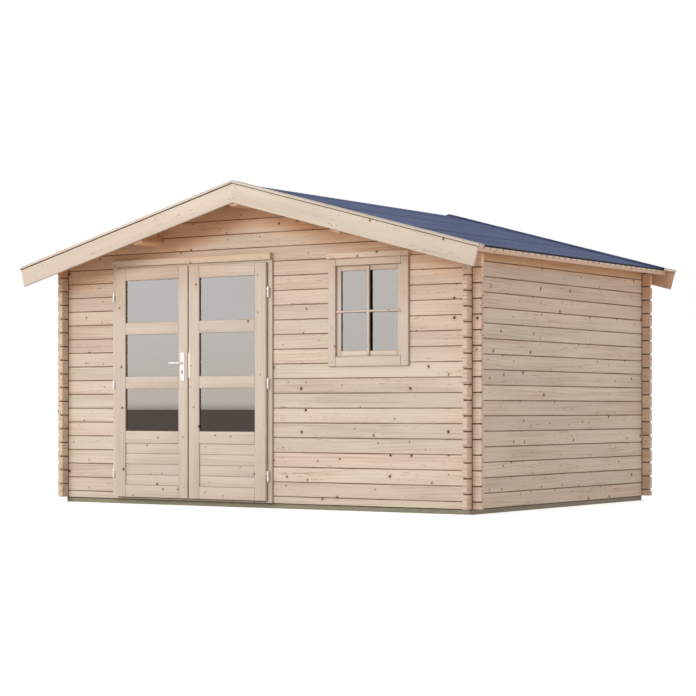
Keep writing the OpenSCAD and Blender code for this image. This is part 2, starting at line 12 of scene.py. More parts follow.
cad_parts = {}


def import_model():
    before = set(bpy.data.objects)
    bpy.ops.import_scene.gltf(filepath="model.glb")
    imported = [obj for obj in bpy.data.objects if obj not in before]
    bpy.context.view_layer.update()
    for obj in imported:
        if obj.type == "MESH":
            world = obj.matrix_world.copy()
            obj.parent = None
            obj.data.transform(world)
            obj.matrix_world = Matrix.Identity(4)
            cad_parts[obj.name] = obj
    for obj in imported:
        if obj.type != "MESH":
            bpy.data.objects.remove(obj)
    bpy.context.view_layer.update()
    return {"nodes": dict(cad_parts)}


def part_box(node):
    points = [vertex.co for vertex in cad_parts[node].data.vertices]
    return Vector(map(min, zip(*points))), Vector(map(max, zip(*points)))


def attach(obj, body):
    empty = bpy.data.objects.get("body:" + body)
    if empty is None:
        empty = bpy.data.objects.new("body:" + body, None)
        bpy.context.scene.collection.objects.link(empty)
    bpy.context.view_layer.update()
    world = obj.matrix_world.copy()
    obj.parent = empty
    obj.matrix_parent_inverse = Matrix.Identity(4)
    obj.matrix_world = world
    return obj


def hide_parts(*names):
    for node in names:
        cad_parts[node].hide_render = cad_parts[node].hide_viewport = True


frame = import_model()

bl_info = {
    "name": "Garden log cabin",
    "version": (1, 0, 0),
    "blender": (4, 5, 0),
    "location": "View3D > Sidebar > Cabin",
    "description": "Dresses the log cabin with its boards, joinery, fittings and finishes",
    "category": "Object",
}

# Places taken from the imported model
WALL_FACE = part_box("front_wall_middle")[0].y
WALL_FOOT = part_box("front_wall_middle")[0].z
DECK_LOW, DECK_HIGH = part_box("right_roof_boards")
RIDGE_Z = DECK_HIGH.z
EAVE_X = DECK_HIGH.x
PITCH = math.radians(15.0)
SLOPE = 1.0 / math.cos(PITCH)
SIDES = ((-1, "left"), (1, "right"))

# Log walls: height of a course and of the half log at the foot, half the width and depth face to face
COURSE, FOOT_LOG = 0.114, 0.052
HALF_WIDTH, HALF_DEPTH = 1.962, 1.445
# Front wall: top of the openings and foot of the window over the wall's foot, middles of window and door
OPENING_TOP, WINDOW_FOOT, WINDOW_MIDDLE, DOOR_MIDDLE = 1.876, 1.078, 1.067, -0.62
# Roof: thicknesses, the height of a barge board and what runs past the eaves
DECK_T, CAP_T, BARGE_H = 0.018, 0.020, 0.147
BARGE_PAST, CAP_PAST = 0.072, 0.080
# Felt: inset at the verges, width of the strip over the ridge, top of the first row
FELT_INSET, RIDGE_STRIP, FELT_TOP = 0.001, 0.16, 0.05
# Joinery: lap and rise of the door frame over the logs, depth of a bead, gap between boards, and the
# height of the window's cross bar over the wall's foot
FRAME_LAP, FRAME_RISE = 0.025, 0.014
BEAD_T, BOARD_GAP = 0.010, 0.0006
CROSS_BAR_Z = 1.467
# Handle: thickness of the plate, height of the lever's axis on it and drop of the keyhole below that
PLATE_T, LEVER_UP, KEY_DROP = 0.004, 0.144, 0.069


def linear(red, green, blue):
    """Scene colour of a colour written in the usual 0 to 255."""
    parts = [value / 255.0 for value in (red, green, blue)]
    return tuple(p / 12.92 if p <= 0.04045 else ((p + 0.055) / 1.055) ** 2.4 for p in parts)


def size_of(name, text, default, low):
    """A length that the sidebar shows."""
    return FloatProperty(name=name, description=text, default=default, min=low, unit="LENGTH")


def colour_of(name, text, *colour):
    """A colour that the sidebar shows."""
    return FloatVectorProperty(
        name=name, description=text, subtype="COLOR", size=3, default=linear(*colour), min=0, max=1
    )


def light_of(name, text, default, unit="NONE"):
    """A level of light that the sidebar shows."""
    return FloatProperty(name=name, description=text, default=default, min=0, unit=unit)


class CabinSizes(bpy.types.PropertyGroup):
    """Sizes of the boards and joinery"""

    roof_board: size_of("Roof board", "Width of one roof board", 0.097, 0.05)
    floor_board: size_of("Floor board", "Width of one floor board", 0.097, 0.05)
    eased_edge: size_of("Eased edge", "Rounding of planed edges", 0.0025, 0.0005)
    seat: size_of("Seat", "Depth of the grooves that hold the panes", 0.008, 0.002)
    rail: size_of("Rail", "Height of a door rail", 0.098, 0.05)
    lip: size_of("Lip", "Thickness of a leaf's front lip", 0.022, 0.01)
    rebate: size_of("Rebate", "Width of the rebate behind the lip", 0.023, 0.005)
    bead: size_of("Glazing bead", "Width of the beads behind a pane", 0.009, 0.003)
    panel_boards: IntProperty(
        name="Panel boards", description="Boards in the foot panel of a door leaf", default=4, min=1
    )
    sash: size_of("Sash", "Width of the window sash", 0.040, 0.02)
    upright_bar: size_of("Upright bar", "Width of the window's upright bar", 0.021, 0.01)
    cross_bar: size_of("Cross bar", "Height of the window's cross bar", 0.017, 0.01)
    roof_vee: size_of("Roof board vee", "Chamfer under the joints of the roof boards", 0.007, 0.001)
    felt_lap: size_of("Felt lap", "Overlap of the felt strips", 0.08, 0.02)


class CabinColours(bpy.types.PropertyGroup):
    """Colours of the finishes"""

    log_pale: colour_of("Log, pale", "Early wood of the logs", 226, 212, 194)
    log_dark: colour_of("Log, dark", "Late wood of the logs", 198, 175, 154)
    board_pale: colour_of("Board, pale", "Early wood of planed boards", 220, 205, 190)
    board_dark: colour_of("Board, dark", "Late wood of planed boards", 202, 182, 164)
    felt: colour_of("Felt", "Mineral face of the roof felt", 72, 86, 122)
    treated: colour_of("Treated timber", "Bearers under the walls", 156, 149, 128)
    zinc: colour_of("Zinc", "Plated hinges and handle", 250, 249, 247)


class CabinStage(bpy.types.PropertyGroup):
    """Light and floor"""

    front_box: light_of("Front softbox", "Power of the softbox above the front", 3270.0, "POWER")
    pane_box: light_of("Pane softbox", "Power of the low softbox that the panes show", 392.0, "POWER")
    side_box: light_of("Side softbox", "Power of the softbox beside the right wall", 152.0, "POWER")
    sky: light_of("Sky", "Level of the soft light all round", 0.66)
    floor_lift: light_of("Floor lift", "White that the camera sees on the floor", 0.65)


# Modelling helpers
def deselect():
    """Leaves object mode current and nothing selected."""
    if bpy.context.object and bpy.context.object.mode != "OBJECT":
        bpy.ops.object.mode_set(mode="OBJECT")
    bpy.ops.object.select_all(action="DESELECT")


def hold(piece):
    """Makes one piece the only one selected."""
    deselect()
    piece.select_set(True)
    bpy.context.view_layer.objects.active = piece


@contextmanager
def editing(piece):
    """Edit mode on one piece."""
    hold(piece)
    bpy.ops.object.mode_set(mode="EDIT")
    yield
    bpy.ops.object.mode_set(mode="OBJECT")


def choose(piece, kind, chosen):
    """Selects the edges or faces of a piece that is being edited."""
    bpy.ops.mesh.select_mode(type=kind)
    bpy.ops.mesh.select_all(action="DESELECT")
    shape = bmesh.from_edit_mesh(piece.data)
    for item in shape.edges if kind == "EDGE" else shape.faces:
        item.select_set(chosen(item))
    bmesh.update_edit_mesh(piece.data)


def drag(x, y, z):
    """Extrudes what is selected."""
    bpy.ops.mesh.extrude_region_move(TRANSFORM_OT_translate={"value": (x, y, z)})


def fixed(name=None):
    """The piece in hand, with its place, turn and scale moved into its mesh."""
    piece = bpy.context.object
    piece.name = name or piece.name
    bpy.ops.object.transform_apply(location=True, rotation=True, scale=True)
    return piece


def fresh_box(name, low, high):
    """A box between two corners."""
    low, high = Vector(low), Vector(high)
    deselect()
    bpy.ops.mesh.primitive_cube_add(size=1, location=(low + high) / 2, scale=high - low)
    return fixed(name)


def fresh_round(name, radius, depth, place, sides):
    """A cylinder round a point, along y."""
    deselect()
    bpy.ops.mesh.primitive_cylinder_add(
        vertices=sides, radius=radius, depth=depth, location=place, rotation=(math.pi / 2, 0, 0)
    )
    return fixed(name)


def ease(piece, width, chosen=lambda edge: True, segments=2):
    """Rounds the chosen edges, or all of them."""
    with editing(piece):
        choose(piece, "EDGE", chosen)
        bpy.ops.mesh.bevel(offset=width, segments=segments, profile=0.5, affect="EDGES")


def before(depth):
    """Choice of the edges that lie in front of a depth."""
    return lambda edge: all(v.co.y < depth for v in edge.verts)


def sharp(edge):
    """Choice of the edges between faces that turn sharply."""
    return edge.calc_face_angle() > 1.2


def split_at(piece, place, normal, **cut):
    """Cuts a piece along a plane."""
    with editing(piece):
        bpy.ops.mesh.select_all(action="SELECT")
        bpy.ops.mesh.bisect(plane_co=place, plane_no=normal, **cut)


def carve(piece, cutter):
    """Takes the cutter's shape out of a piece."""
    hold(piece)
    cut = piece.modifiers.new("cut", "BOOLEAN")
    cut.object = cutter
    cut.operation = "DIFFERENCE"
    bpy.ops.object.modifier_apply(modifier=cut.name)
    bpy.data.objects.remove(cutter)


def keep_grain(piece, axes, seed):
    """Keeps each point's place along, across and through its own board, the board's seed and its rims, which
    take painted shade.
    """
    mesh = piece.data
    points = np.empty(len(mesh.vertices) * 3)
    mesh.vertices.foreach_get("co", points)
    points = points.reshape(-1, 3)
    sides = np.minimum(points - points.min(axis=0), points.max(axis=0) - points)
    rim_shade = mesh.attributes.new("rim_shade", "FLOAT", "POINT")
    rim_shade.data.foreach_set("value", (sides.min(axis=1) > 1e-5).astype(float))
    points = (points - points.min(axis=0))[:, ["xyz".index(axis) for axis in axes]]
    place = mesh.attributes.new("grain", "FLOAT_VECTOR", "POINT")
    place.data.foreach_set("vector", points.ravel())
    number = mesh.attributes.new("board", "FLOAT", "POINT")
    number.data.foreach_set("value", np.full(len(points), seed))


def board(low, high, axes, seed, edge=None):
    """One planed board with eased edges."""
    piece = fresh_box("board", low, high)
    ease(piece, edge or bpy.context.scene.cabin_sizes.eased_edge)
    keep_grain(piece, axes, seed)
    return piece


def copy_of(piece, move, seed=None):
    """A moved copy with its own mesh and, where given, its own grain."""
    twin = piece.copy()
    twin.data = piece.data.copy()
    bpy.context.scene.collection.objects.link(twin)
    twin.data.transform(Matrix.Translation(move))
    if seed is not None:
        number = twin.data.attributes["board"]
        number.data.foreach_set("value", np.full(len(twin.data.vertices), seed))
    return twin


def settle(parts, name, body, slot, finish, *nodes):
    """Joins parts into one piece with smooth rounded edges; gives it its finish, body and replaced nodes."""
    hold(parts[0])
    for part in parts:
        part.select_set(True)
    if len(parts) > 1:
        bpy.ops.object.join()
    piece = bpy.context.object
    piece.name = name
    piece.data.name = name
    bpy.ops.object.shade_smooth_by_angle(angle=math.radians(40))
    piece.data.materials.clear()
    piece.data.materials.append(finish)
    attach(piece, body)
    if nodes:
        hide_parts(*nodes)


def dress(finish, *nodes):
    """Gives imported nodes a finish."""
    for name in nodes:
        slots = frame["nodes"][name].data.materials
        slots.clear()
        slots.append(finish)


def onto_slope(piece, side):
    """Turns a piece that was made level onto one slope of the roof."""
    hold(piece)
    piece.rotation_euler = (0, side * PITCH, 0)
    piece.location = (0, 0, RIDGE_Z)
    return fixed()


def slope_board(side, start, reach, y0, y1, low, high, axes, seed, edge, vee=0.0):
    """A board down one slope, cut at the ridge when start is negative, with vees under its long edges and
    painted shade towards those joints.
    """
    ends = sorted((side * start, side * reach))
    piece = fresh_box("board", (ends[0], y0, low), (ends[1], y1, high))
    if vee:
        ease(
            piece, vee,
            lambda line: all(v.co.z < low + 1e-5 for v in line.verts)
            and abs(line.verts[0].co.y - line.verts[1].co.y) < 1e-5, 1,
        )
    ease(piece, edge, sharp)
    keep_grain(piece, axes, seed)
    if vee:
        # Painted shade towards the joints of the vees, fading out over this width
        shade = 1.6 * vee
        for level, way in ((y0 + shade, 1), (y1 - shade, -1)):
            split_at(piece, (0, level, 0), (0, way, 0))
        rim_shade = piece.data.attributes["rim_shade"]
        for point in piece.data.vertices:
            away = min(point.co.y - y0, y1 - point.co.y)
            rim_shade.data[point.index].value = max(0.0, 1.0 - away / shade)
    onto_slope(piece, side)
    if start < 0:
        split_at(piece, (0, 0, 0), (-side, 0, 0), use_fill=True, clear_outer=True)
    return piece


# Shader helpers
class Value:
    """An output in a shader tree, for sums, products and ramps."""

    def __init__(self, nodes, socket):
        self.nodes, self.socket = nodes, socket

    def calc(self, operation, other=0.0, clamp=False):
        """Output of a Math node."""
        return self.nodes.put("Math", {0: self, 1: other}, operation=operation, use_clamp=clamp)

    def ramp(self, low, high, start=0.0, end=1.0):
        """Output of a smooth Map Range node."""
        return self.nodes.put(
            "MapRange", {"Value": self, "From Min": low, "From Max": high, "To Min": start, "To Max": end},
            "Result", interpolation_type="SMOOTHSTEP",
        )

    def __add__(self, other):
        return self.calc("ADD", other)

    def __sub__(self, other):
        return self.calc("SUBTRACT", other)

    def __rsub__(self, other):
        return self.nodes.put("Math", {0: other, 1: self}, operation="SUBTRACT")

    def __mul__(self, other):
        return self.calc("MULTIPLY", other)

    def __truediv__(self, other):
        return self.calc("DIVIDE", other)

    def __lt__(self, other):
        return self.calc("LESS_THAN", other)

    def __gt__(self, other):
        return self.calc("GREATER_THAN", other)

    def __abs__(self):
        return self.calc("ABSOLUTE")


class Nodes:
    """Adds nodes to one shader tree."""

    def __init__(self, tree):
        self.tree = tree

    def feed(self, socket, value):
        """Links a value to a socket, or sets it there."""
        value = value.socket if isinstance(value, Value) else value
        if isinstance(value, bpy.types.NodeSocket):
            self.tree.links.new(value, socket)
        elif socket.type == "RGBA":
            socket.default_value = (*value[:3], 1.0)
        else:
            socket.default_value = value

    def put(self, kind, inputs, *outputs, **settings):
        """Adds a node, sets it, feeds its inputs and gives the outputs asked for, or its first."""
        made = self.tree.nodes.new("ShaderNode" + kind)
        for key, value in settings.items():
            setattr(made, key, value)
        for key, value in inputs.items():
            self.feed(made.inputs[key], value)
        found = [Value(self, made.outputs[key]) for key in outputs or (0,)]
        return found if len(found) > 1 else found[0]

    def blend(self, factor, first, second, mode="MIX"):
        """Mixes or multiplies two colours."""
        return self.put(
            "Mix", {0: factor, 6: first, 7: second}, 2, data_type="RGBA", blend_type=mode, clamp_factor=True
        )

    def noise(self, vector, scale, detail=2.0, rough=0.5):
        """Value of a noise on a vector stretched by three factors."""
        stretched = self.put("VectorMath", {0: vector, 1: scale}, operation="MULTIPLY")
        return self.put(
            "TexNoise", {"Vector": stretched, "Scale": 1.0, "Detail": detail, "Roughness": rough}, "Fac"
        )

    def here(self):
        """Place on the piece."""
        return self.put("TexCoord", {}, "Object")

    def split(self, vector):
        """The three parts of a vector."""
        return self.put("SeparateXYZ", {0: vector}, 0, 1, 2)

    def join(self, *parts):
        """A vector from its parts."""
        return self.put("CombineXYZ", dict(enumerate(parts)))

    def attribute(self, name, output="Fac"):
        """A value kept in the mesh."""
        return self.put("Attribute", {}, output, attribute_name=name)

    def bump(self, height, distance, strength=0.4):
        """Normal of a relief."""
        return self.put("Bump", {"Height": height, "Distance": distance, "Strength": strength})


def shader_group(name, inputs, outputs, build):
    """A shader group that is built once, from its inputs to a value for each output."""
    if name not in bpy.data.node_groups:
        group = bpy.data.node_groups.new(name, "ShaderNodeTree")
        for way, sockets in (("INPUT", inputs), ("OUTPUT", outputs)):
            for label, kind in sockets.items():
                group.interface.new_socket(label, in_out=way, socket_type="NodeSocket" + kind)
        nodes = Nodes(group)
        given = group.nodes.new("NodeGroupInput").outputs
        result = group.nodes.new("NodeGroupOutput").inputs
        for label, value in build(nodes, {key: Value(nodes, given[key]) for key in inputs}).items():
            nodes.feed(result[label], value)
    return bpy.data.node_groups[name]


def new_finish(name, build):
    """A material that is built once, from what each input of its Principled shader is fed."""
    if name not in bpy.data.materials:
        finish = bpy.data.materials.new(name)
        finish.use_nodes = True
        nodes = Nodes(finish.node_tree)
        shader = finish.node_tree.nodes["Principled BSDF"]
        for key, value in build(nodes).items():
            nodes.feed(shader.inputs[key], value)
    return bpy.data.materials[name]


def spruce_figure():
    """Streaks, rings, knots and tone of spruce on a place along, across and through a board."""

    def build(nodes, given):
        seed, vary = given["Board"], given["Vary"]
        shift = nodes.join(seed * 13.71, seed * 7.37, seed * 5.13)
        place = nodes.put("VectorMath", {0: given["Place"], 1: shift})
        along, across, through = nodes.split(place)
        spots = nodes.join(along, across)

        def scatter(scale):
            """Distance from scattered points, which of them are knots, and a draw for their size."""
            away, colour = nodes.put(
                "TexVoronoi", {"Vector": spots, "Scale": scale, "Randomness": 1.0}, "Distance", "Color",
                voronoi_dimensions="2D", feature="F1",
            )
            chance, size = nodes.put("SeparateColor", {0: colour}, 0, 1)
            return away / scale, chance < given["Knots"], size

        # Knots scattered over the face, and pin knots between them
        away, there, size = scatter(6.2)
        near = away / (size.calc("POWER", 3.0) * 0.007 + 0.0042)
        core = near.ramp(1.1, 0.8) * there
        halo = near.ramp(3.0, 0.9) * there
        away, there, size = scatter(10.5)
        pin = (away / (size * 0.0022 + 0.0020)).ramp(1.1, 0.5) * there
        # Grain that wanders slowly and parts round the knots
        bent = across + nodes.noise(place, (0.8, 2.0, 2.0), 1.0) * 0.022 + halo * 0.006
        lines = nodes.join(along, bent, through)
        streak = nodes.noise(lines, (1.0, 40.0, 34.0), 3.0, 0.6)
        fibre = nodes.noise(lines, (7.0, 260.0, 200.0))
        tone = nodes.noise(lines, (0.9, 7.0, 7.0), 1.0)
        heart = nodes.noise(place, (0.45, 0.0, 0.0), 0.0)
        rings = (abs(bent - heart * 0.2) * 230.0).calc("SINE").ramp(-0.2, 1.0)
        # Share of late wood
        late = streak.ramp(0.36, 0.72) * 0.48 + fibre.ramp(0.35, 0.75) * 0.14 + rings * tone * 0.46
        ebb = nodes.noise(place, (1.3, 9.0, 9.0), 1.0).ramp(0.38, 0.62, 0.35, 1.1)
        late = (late * ebb).calc("ADD", halo * 0.35, True)
        wood = nodes.blend(late, given["Pale"], given["Dark"])
        # Tone of the whole board, from pinkish to yellowish, and slow patches
        draw = nodes.put("TexWhiteNoise", {"W": seed * 3.17}, "Color", noise_dimensions="1D")
        hue, weight = nodes.put("SeparateColor", {0: draw}, 0, 1)
        warmth = nodes.blend(hue, (1.01, 0.965, 0.945), (0.985, 1.0, 0.965))
        wood = nodes.blend(vary * 0.8, wood, warmth, "MULTIPLY")
        lift = (weight.ramp(0.0, 1.0, -0.065, 0.035) * vary + 1.0) * tone.ramp(0.25, 0.75, 0.94, 1.04)
        wood = nodes.blend(1.0, wood, nodes.put("CombineColor", {0: lift, 1: lift, 2: lift}), "MULTIPLY")
        # Short brown flecks in patches, then the knots
        patch = nodes.noise(place, (1.7, 15.0, 15.0), 1.0).ramp(0.52, 0.64)
        fleck = nodes.noise(lines, (13.0, 150.0, 120.0), 1.0).ramp(0.62, 0.72) * patch * vary
        for share, shade in (
            (fleck * 0.6, (150, 104, 76)), (halo * 0.2, (172, 124, 92)), (pin * 0.75, (92, 56, 38)),
            (core * 0.95, (58, 34, 24)),
        ):
            wood = nodes.blend(share, wood, linear(*shade))
        return {"Colour": wood, "Height": fibre * 0.5 - late * 0.5}

    return shader_group(
        "Spruce_figure",
        {"Place": "Vector", "Board": "Float", "Knots": "Float", "Vary": "Float", "Pale": "Color",
         "Dark": "Color"},
        {"Colour": "Color", "Height": "Float"}, build,
    )


def sawn_end():
    """Rings and saw marks of a log end on two places across it."""

    def build(nodes, given):
        place, seed = given["Place"], given["Board"]
        pith = nodes.join((seed * 41.0).calc("SINE") - 1.6, (seed * 23.0).calc("COSINE"))
        pith = nodes.put("VectorMath", {0: pith, 1: (0.03, 0.03, 0.0)}, operation="MULTIPLY")
        away = nodes.put("VectorMath", {0: place, 1: pith}, "Value", operation="DISTANCE")
        ripple = nodes.noise(place, (45.0, 45.0, 45.0))
        rings = (away * 1100.0 + ripple * 5.0).calc("SINE").ramp(-0.3, 1.0)
        late = (rings * 0.5).calc("ADD", ripple * 0.4, True)
        lines = nodes.put("VectorMath", {0: place, 1: nodes.put("CombineXYZ", {1: seed})})
        marks = nodes.noise(lines, (5.0, 95.0, 0.0), 1.0).ramp(0.56, 0.68, 0.0, 0.55)
        colour = nodes.blend(late, given["Pale"], given["Dark"])
        return {"Colour": nodes.blend(marks, colour, linear(140, 94, 66))}

    return shader_group(
        "Sawn_end", {"Place": "Vector", "Board": "Float", "Pale": "Color", "Dark": "Color"},
        {"Colour": "Color"}, build,
    )


def roof_depth(x, z):
    """How far a place lies below the top of the roof boards."""
    return RIDGE_Z - abs(x) * math.tan(PITCH) - z


def roof_painted_shade():
    """Painted shade and warm painted bounce light on the wood close under the roof, from none at one depth to
    full at another.
    """

    def build(nodes, given):
        x, _, z = nodes.split(given["Place"])
        depth = roof_depth(x, z)
        share = depth.ramp(given["None"], given["Full"]) * (z - given["Foot"]).ramp(0.0, 0.25)
        # Painted tone of shade in the middle and of warm bounce light towards the eaves
        warmth = nodes.blend(abs(x).ramp(0.6, 1.4), given["Middle"], given["Eaves"])
        tone = nodes.blend(share, given["Colour"], warmth, "MULTIPLY")
        # A fainter painted shade further below the roof
        tail = depth.ramp(given["None"] + 0.75, given["None"])
        return {"Colour": nodes.blend(tail, tone, (0.93, 0.87, 0.85), "MULTIPLY")}

    return shader_group(
        "Roof_painted_shade",
        {"Place": "Vector", "None": "Float", "Full": "Float", "Foot": "Float", "Middle": "Color",
         "Eaves": "Color", "Colour": "Color"},
        {"Colour": "Color"}, build,
    )


def spruce(nodes, place, number, knots, vary, pale, dark):
    """Colour and relief of spruce at a place on a board."""
    inputs = {"Place": place, "Board": number, "Knots": knots, "Vary": vary, "Pale": pale, "Dark": dark}
    return nodes.put("Group", inputs, "Colour", "Height", node_tree=spruce_figure())


def sawn_ends(nodes, colour, way, *inputs):
    """A colour that gives way to sawn wood on the faces that look along one axis."""
    sawn = nodes.put("Group", dict(zip(("Place", "Board", "Pale", "Dark"), inputs)), node_tree=sawn_end())
    facing = nodes.split(nodes.put("TexCoord", {}, "Normal"))
    return nodes.blend(abs(facing[way]).ramp(0.5, 0.8), colour, sawn)


def planed_spruce(name, pale, dark, knots=0.35, axes=None, ends=None, vary=1.0, shade=None):
    """Planed boards; the place comes from the board's own grain, or from the part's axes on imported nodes."""

    def build(nodes):
        here = nodes.split(nodes.here())
        if axes:
            place = nodes.join(*(here["xyz".index(axis)] for axis in axes))
            number = (here["xyz".index(axes[1])] * 2.2).calc("FLOOR")
        else:
            place, number = nodes.attribute("grain", "Vector"), nodes.attribute("board")
        colour, height = spruce(nodes, place, number, knots, vary, pale, dark)
        if ends:
            way = "xyz".index(ends[2])
            cross = nodes.join(here[1 - way], here[2])
            colour = sawn_ends(nodes, colour, way, cross, number, *ends[:2])
        if shade:
            # Painted shade close under the roof
            colour = nodes.blend(roof_depth(here[0], here[2]).ramp(0.74, 0.44), colour, shade, "MULTIPLY")
        # Painted shade along the rims: the eased edges, and the joints of vee boards
        colour = nodes.blend(nodes.attribute("rim_shade") * 0.8, colour, linear(104, 74, 52))
        return {
            "Base Color": colour, "Roughness": height.ramp(-0.3, 0.4, 0.68, 0.52), "Specular IOR Level": 0.3,
            "Normal": nodes.bump(height, 0.0008),
        }

    return new_finish(name, build)


def wall_logs(name, axes, half_course, crossings, painted_roof_shade, eaves, painted_stub_lighting):
    """Courses of logs on the part's axes, with sawn ends, painted shade in the joints and in lines where the
    walls cross, and painted light and shade on the log ends past the crossings and close under the roof.
    """
    colours = bpy.context.scene.cabin_colours

    def build(nodes):
        spot = nodes.here()
        here = nodes.split(spot)
        run, z, depth = (here["xyz".index(axis)] for axis in axes)
        course = (z - (WALL_FOOT + FOOT_LOG + half_course * COURSE)) / COURSE
        number = course.calc("FLOOR")
        part = course - number
        number = number + (depth * 0.9).calc("FLOOR") * 31.0
        # Lengths of front log on either side of an opening have their own figure
        if not half_course:
            past = (run > WINDOW_MIDDLE) * (z > WALL_FOOT + WINDOW_FOOT)
            stretch = ((run > DOOR_MIDDLE) + past) * (z < WALL_FOOT + OPENING_TOP) * (depth < 0.0)
            number = number + stretch * 0.37
        rise = part * COURSE
        place = nodes.join(run, rise, depth)
        colour, height = spruce(nodes, place, number, 0.5, 1.0, colours.log_pale, colours.log_dark)
        away = abs(run - crossings[0]) - crossings[1]
        outer = away > 0.0
        # Painted light and shade on the log ends that stand out past the crossings
        colour = nodes.blend(outer, colour, painted_stub_lighting, "MULTIPLY")
        cross = nodes.join(depth, rise)
        ends = (linear(233, 213, 193), linear(200, 168, 141))
        colour = sawn_ends(nodes, colour, "xyz".index(axes[0]), cross, number, *ends)
        # Joints, painted shade in the gaps between the logs, darker and wider on the log ends and uneven along
        # the walls
        edge = part.calc("MINIMUM", 1.0 - part) * COURSE
        reach = outer.ramp(0.0, 1.0, 0.0062 if half_course else 0.0052, 0.0074)
        joint = nodes.noise(place, (1.6, 0.0, 0.0), 1.0).ramp(0.38, 0.62, 0.66, 0.92)
        joint = edge.ramp(reach, 0.0014) * joint.calc("MAXIMUM", outer * 0.92)
        colour = nodes.blend(joint, colour, nodes.blend(outer, linear(104, 58, 32), linear(64, 36, 22)))
        # Painted shade in the inner corners where the walls cross
        near = abs(abs(away + 0.02) - 0.02)
        colour = nodes.blend(near.ramp(0.006, 0.002) * 0.85, colour, linear(62, 38, 26))
        # Painted shade and painted warm bounce light close under the roof, with its own tone towards each end
        # of the wall
        eaves_light_and_shade = nodes.blend(here[0].ramp(-1.5, 1.1), eaves[0], eaves[-1])
        colour = nodes.put(
            "Group", {"Place": spot, "None": painted_roof_shade[0], "Full": painted_roof_shade[1], "Foot": painted_roof_shade[2],
                      "Middle": (1.03, 0.77, 0.56), "Eaves": eaves_light_and_shade, "Colour": colour},
            node_tree=roof_painted_shade(),
        )
        return {
            "Base Color": colour, "Roughness": height.ramp(-0.3, 0.4, 0.72, 0.55), "Specular IOR Level": 0.25,
            "Normal": nodes.bump(height, 0.0010),
        }

    return new_finish(name, build)


def treated_timber():
    """Rough-sawn, green-treated timber, darker along its top with painted shade under the logs."""
    colours = bpy.context.scene.cabin_colours

    def build(nodes):
        spot = nodes.here()
        patch = nodes.noise(spot, (2.5, 2.5, 9.0), 3.0)
        marks = nodes.noise(spot, (60.0, 60.0, 220.0), 3.0, 0.7)
        # Painted shade along the top, under the logs
        shade_under_logs = nodes.split(spot)[2].ramp(WALL_FOOT - 0.014, WALL_FOOT - 0.004, 0.0, 0.6)
        colour = nodes.blend(patch.ramp(0.35, 0.7), colours.treated, linear(140, 142, 120))
        colour = nodes.blend(marks.ramp(0.45, 0.75) * 0.5, colour, linear(104, 94, 74))
        return {
            "Base Color": nodes.blend(shade_under_logs, colour, linear(66, 50, 36)),
            "Roughness": marks.ramp(0.3, 0.7, 0.75, 0.95), "Normal": nodes.bump(marks, 0.002, 0.6),
        }

    return new_finish("Treated_timber", build)


def roof_felt():
    """Slate-blue mineral felt with streaks along its strips and lines at their laps, black at the eave."""
    colours = bpy.context.scene.cabin_colours

    def build(nodes):
        spot = nodes.here()
        streak = nodes.noise(spot, (9.0, 0.7, 9.0), 3.0, 0.6)
        grit = nodes.noise(spot, (420.0, 420.0, 420.0), 2.0, 0.7)
        patch = nodes.noise(spot, (1.7, 1.2, 1.7))
        colour = nodes.blend(streak.ramp(0.35, 0.7), colours.felt, linear(88, 102, 137))
        colour = nodes.blend(patch.ramp(0.4, 0.75) * 0.45, colour, linear(62, 75, 108))
        colour = nodes.blend(grit.ramp(0.5, 0.72) * 0.5, colour, linear(52, 60, 84))
        out = abs(nodes.split(spot)[0])
        row = (EAVE_X - 0.045) / 3
        for lap in (0.155, FELT_TOP + row, FELT_TOP + 2 * row):
            line = abs(out - lap).ramp(0.007, 0.002, 0.0, 0.6)
            colour = nodes.blend(line, colour, linear(44, 52, 78))
        eave = out.ramp(EAVE_X - 0.020, EAVE_X - 0.012)
        return {
            "Base Color": nodes.blend(eave, colour, linear(24, 24, 30)),
            "Roughness": grit.ramp(0.3, 0.7, 0.82, 0.96), "Specular IOR Level": 0.2,
            "Normal": nodes.bump(grit, 0.0012, 0.5),
        }

    return new_finish("Mineral_felt", build)


def plated_zinc():
    """Bright zinc plating with faint brushing."""
    colours = bpy.context.scene.cabin_colours

    def build(nodes):
        brush = nodes.noise(nodes.here(), (900.0, 900.0, 60.0))
        cloud = nodes.noise(nodes.here(), (60.0, 60.0, 60.0))
        return {
            "Base Color": nodes.blend(cloud.ramp(0.35, 0.7), colours.zinc, linear(238, 237, 235)),
            "Roughness": brush.ramp(0.3, 0.7, 0.24, 0.38), "Metallic": 0.15,
            "Normal": nodes.bump(brush, 0.0002, 0.2),
        }

    return new_finish("Plated_zinc", build)


def clouded(name, scale, detail, low, first, second, rough=None, **fixed_inputs):
    """A finish that one noise clouds from a first colour to a second, and roughens."""

    def build(nodes):
        cloud = nodes.noise(nodes.here(), scale, detail)
        inputs = {"Base Color": nodes.blend(cloud.ramp(low, 0.7), first, second)}
        if rough:
            inputs["Roughness"] = cloud.ramp(0.3, 0.7, *rough)
        inputs.update({key.replace("_", " "): value for key, value in fixed_inputs.items()})
        return inputs

    return new_finish(name, build)


def bitumen_edge():
    """Black edge of the felt, at the eaves, and under the caps, where it also serves as painted shade below
    the caps.
    """
    return clouded(
        "Bitumen_edge", (14.0, 60.0, 60.0), 3.0, 0.35, linear(30, 25, 27), linear(52, 43, 40), (0.8, 0.95),
        Specular_IOR_Level=0.2,
    )


def dull_steel():
    """Dull steel of nail heads and of the lock's core."""
    return clouded(
        "Dull_steel", (300.0, 300.0, 300.0), 2.0, 0.35, linear(26, 22, 20), linear(14, 12, 11), (0.6, 0.75),
        Specular_IOR_Level=0.2,
    )


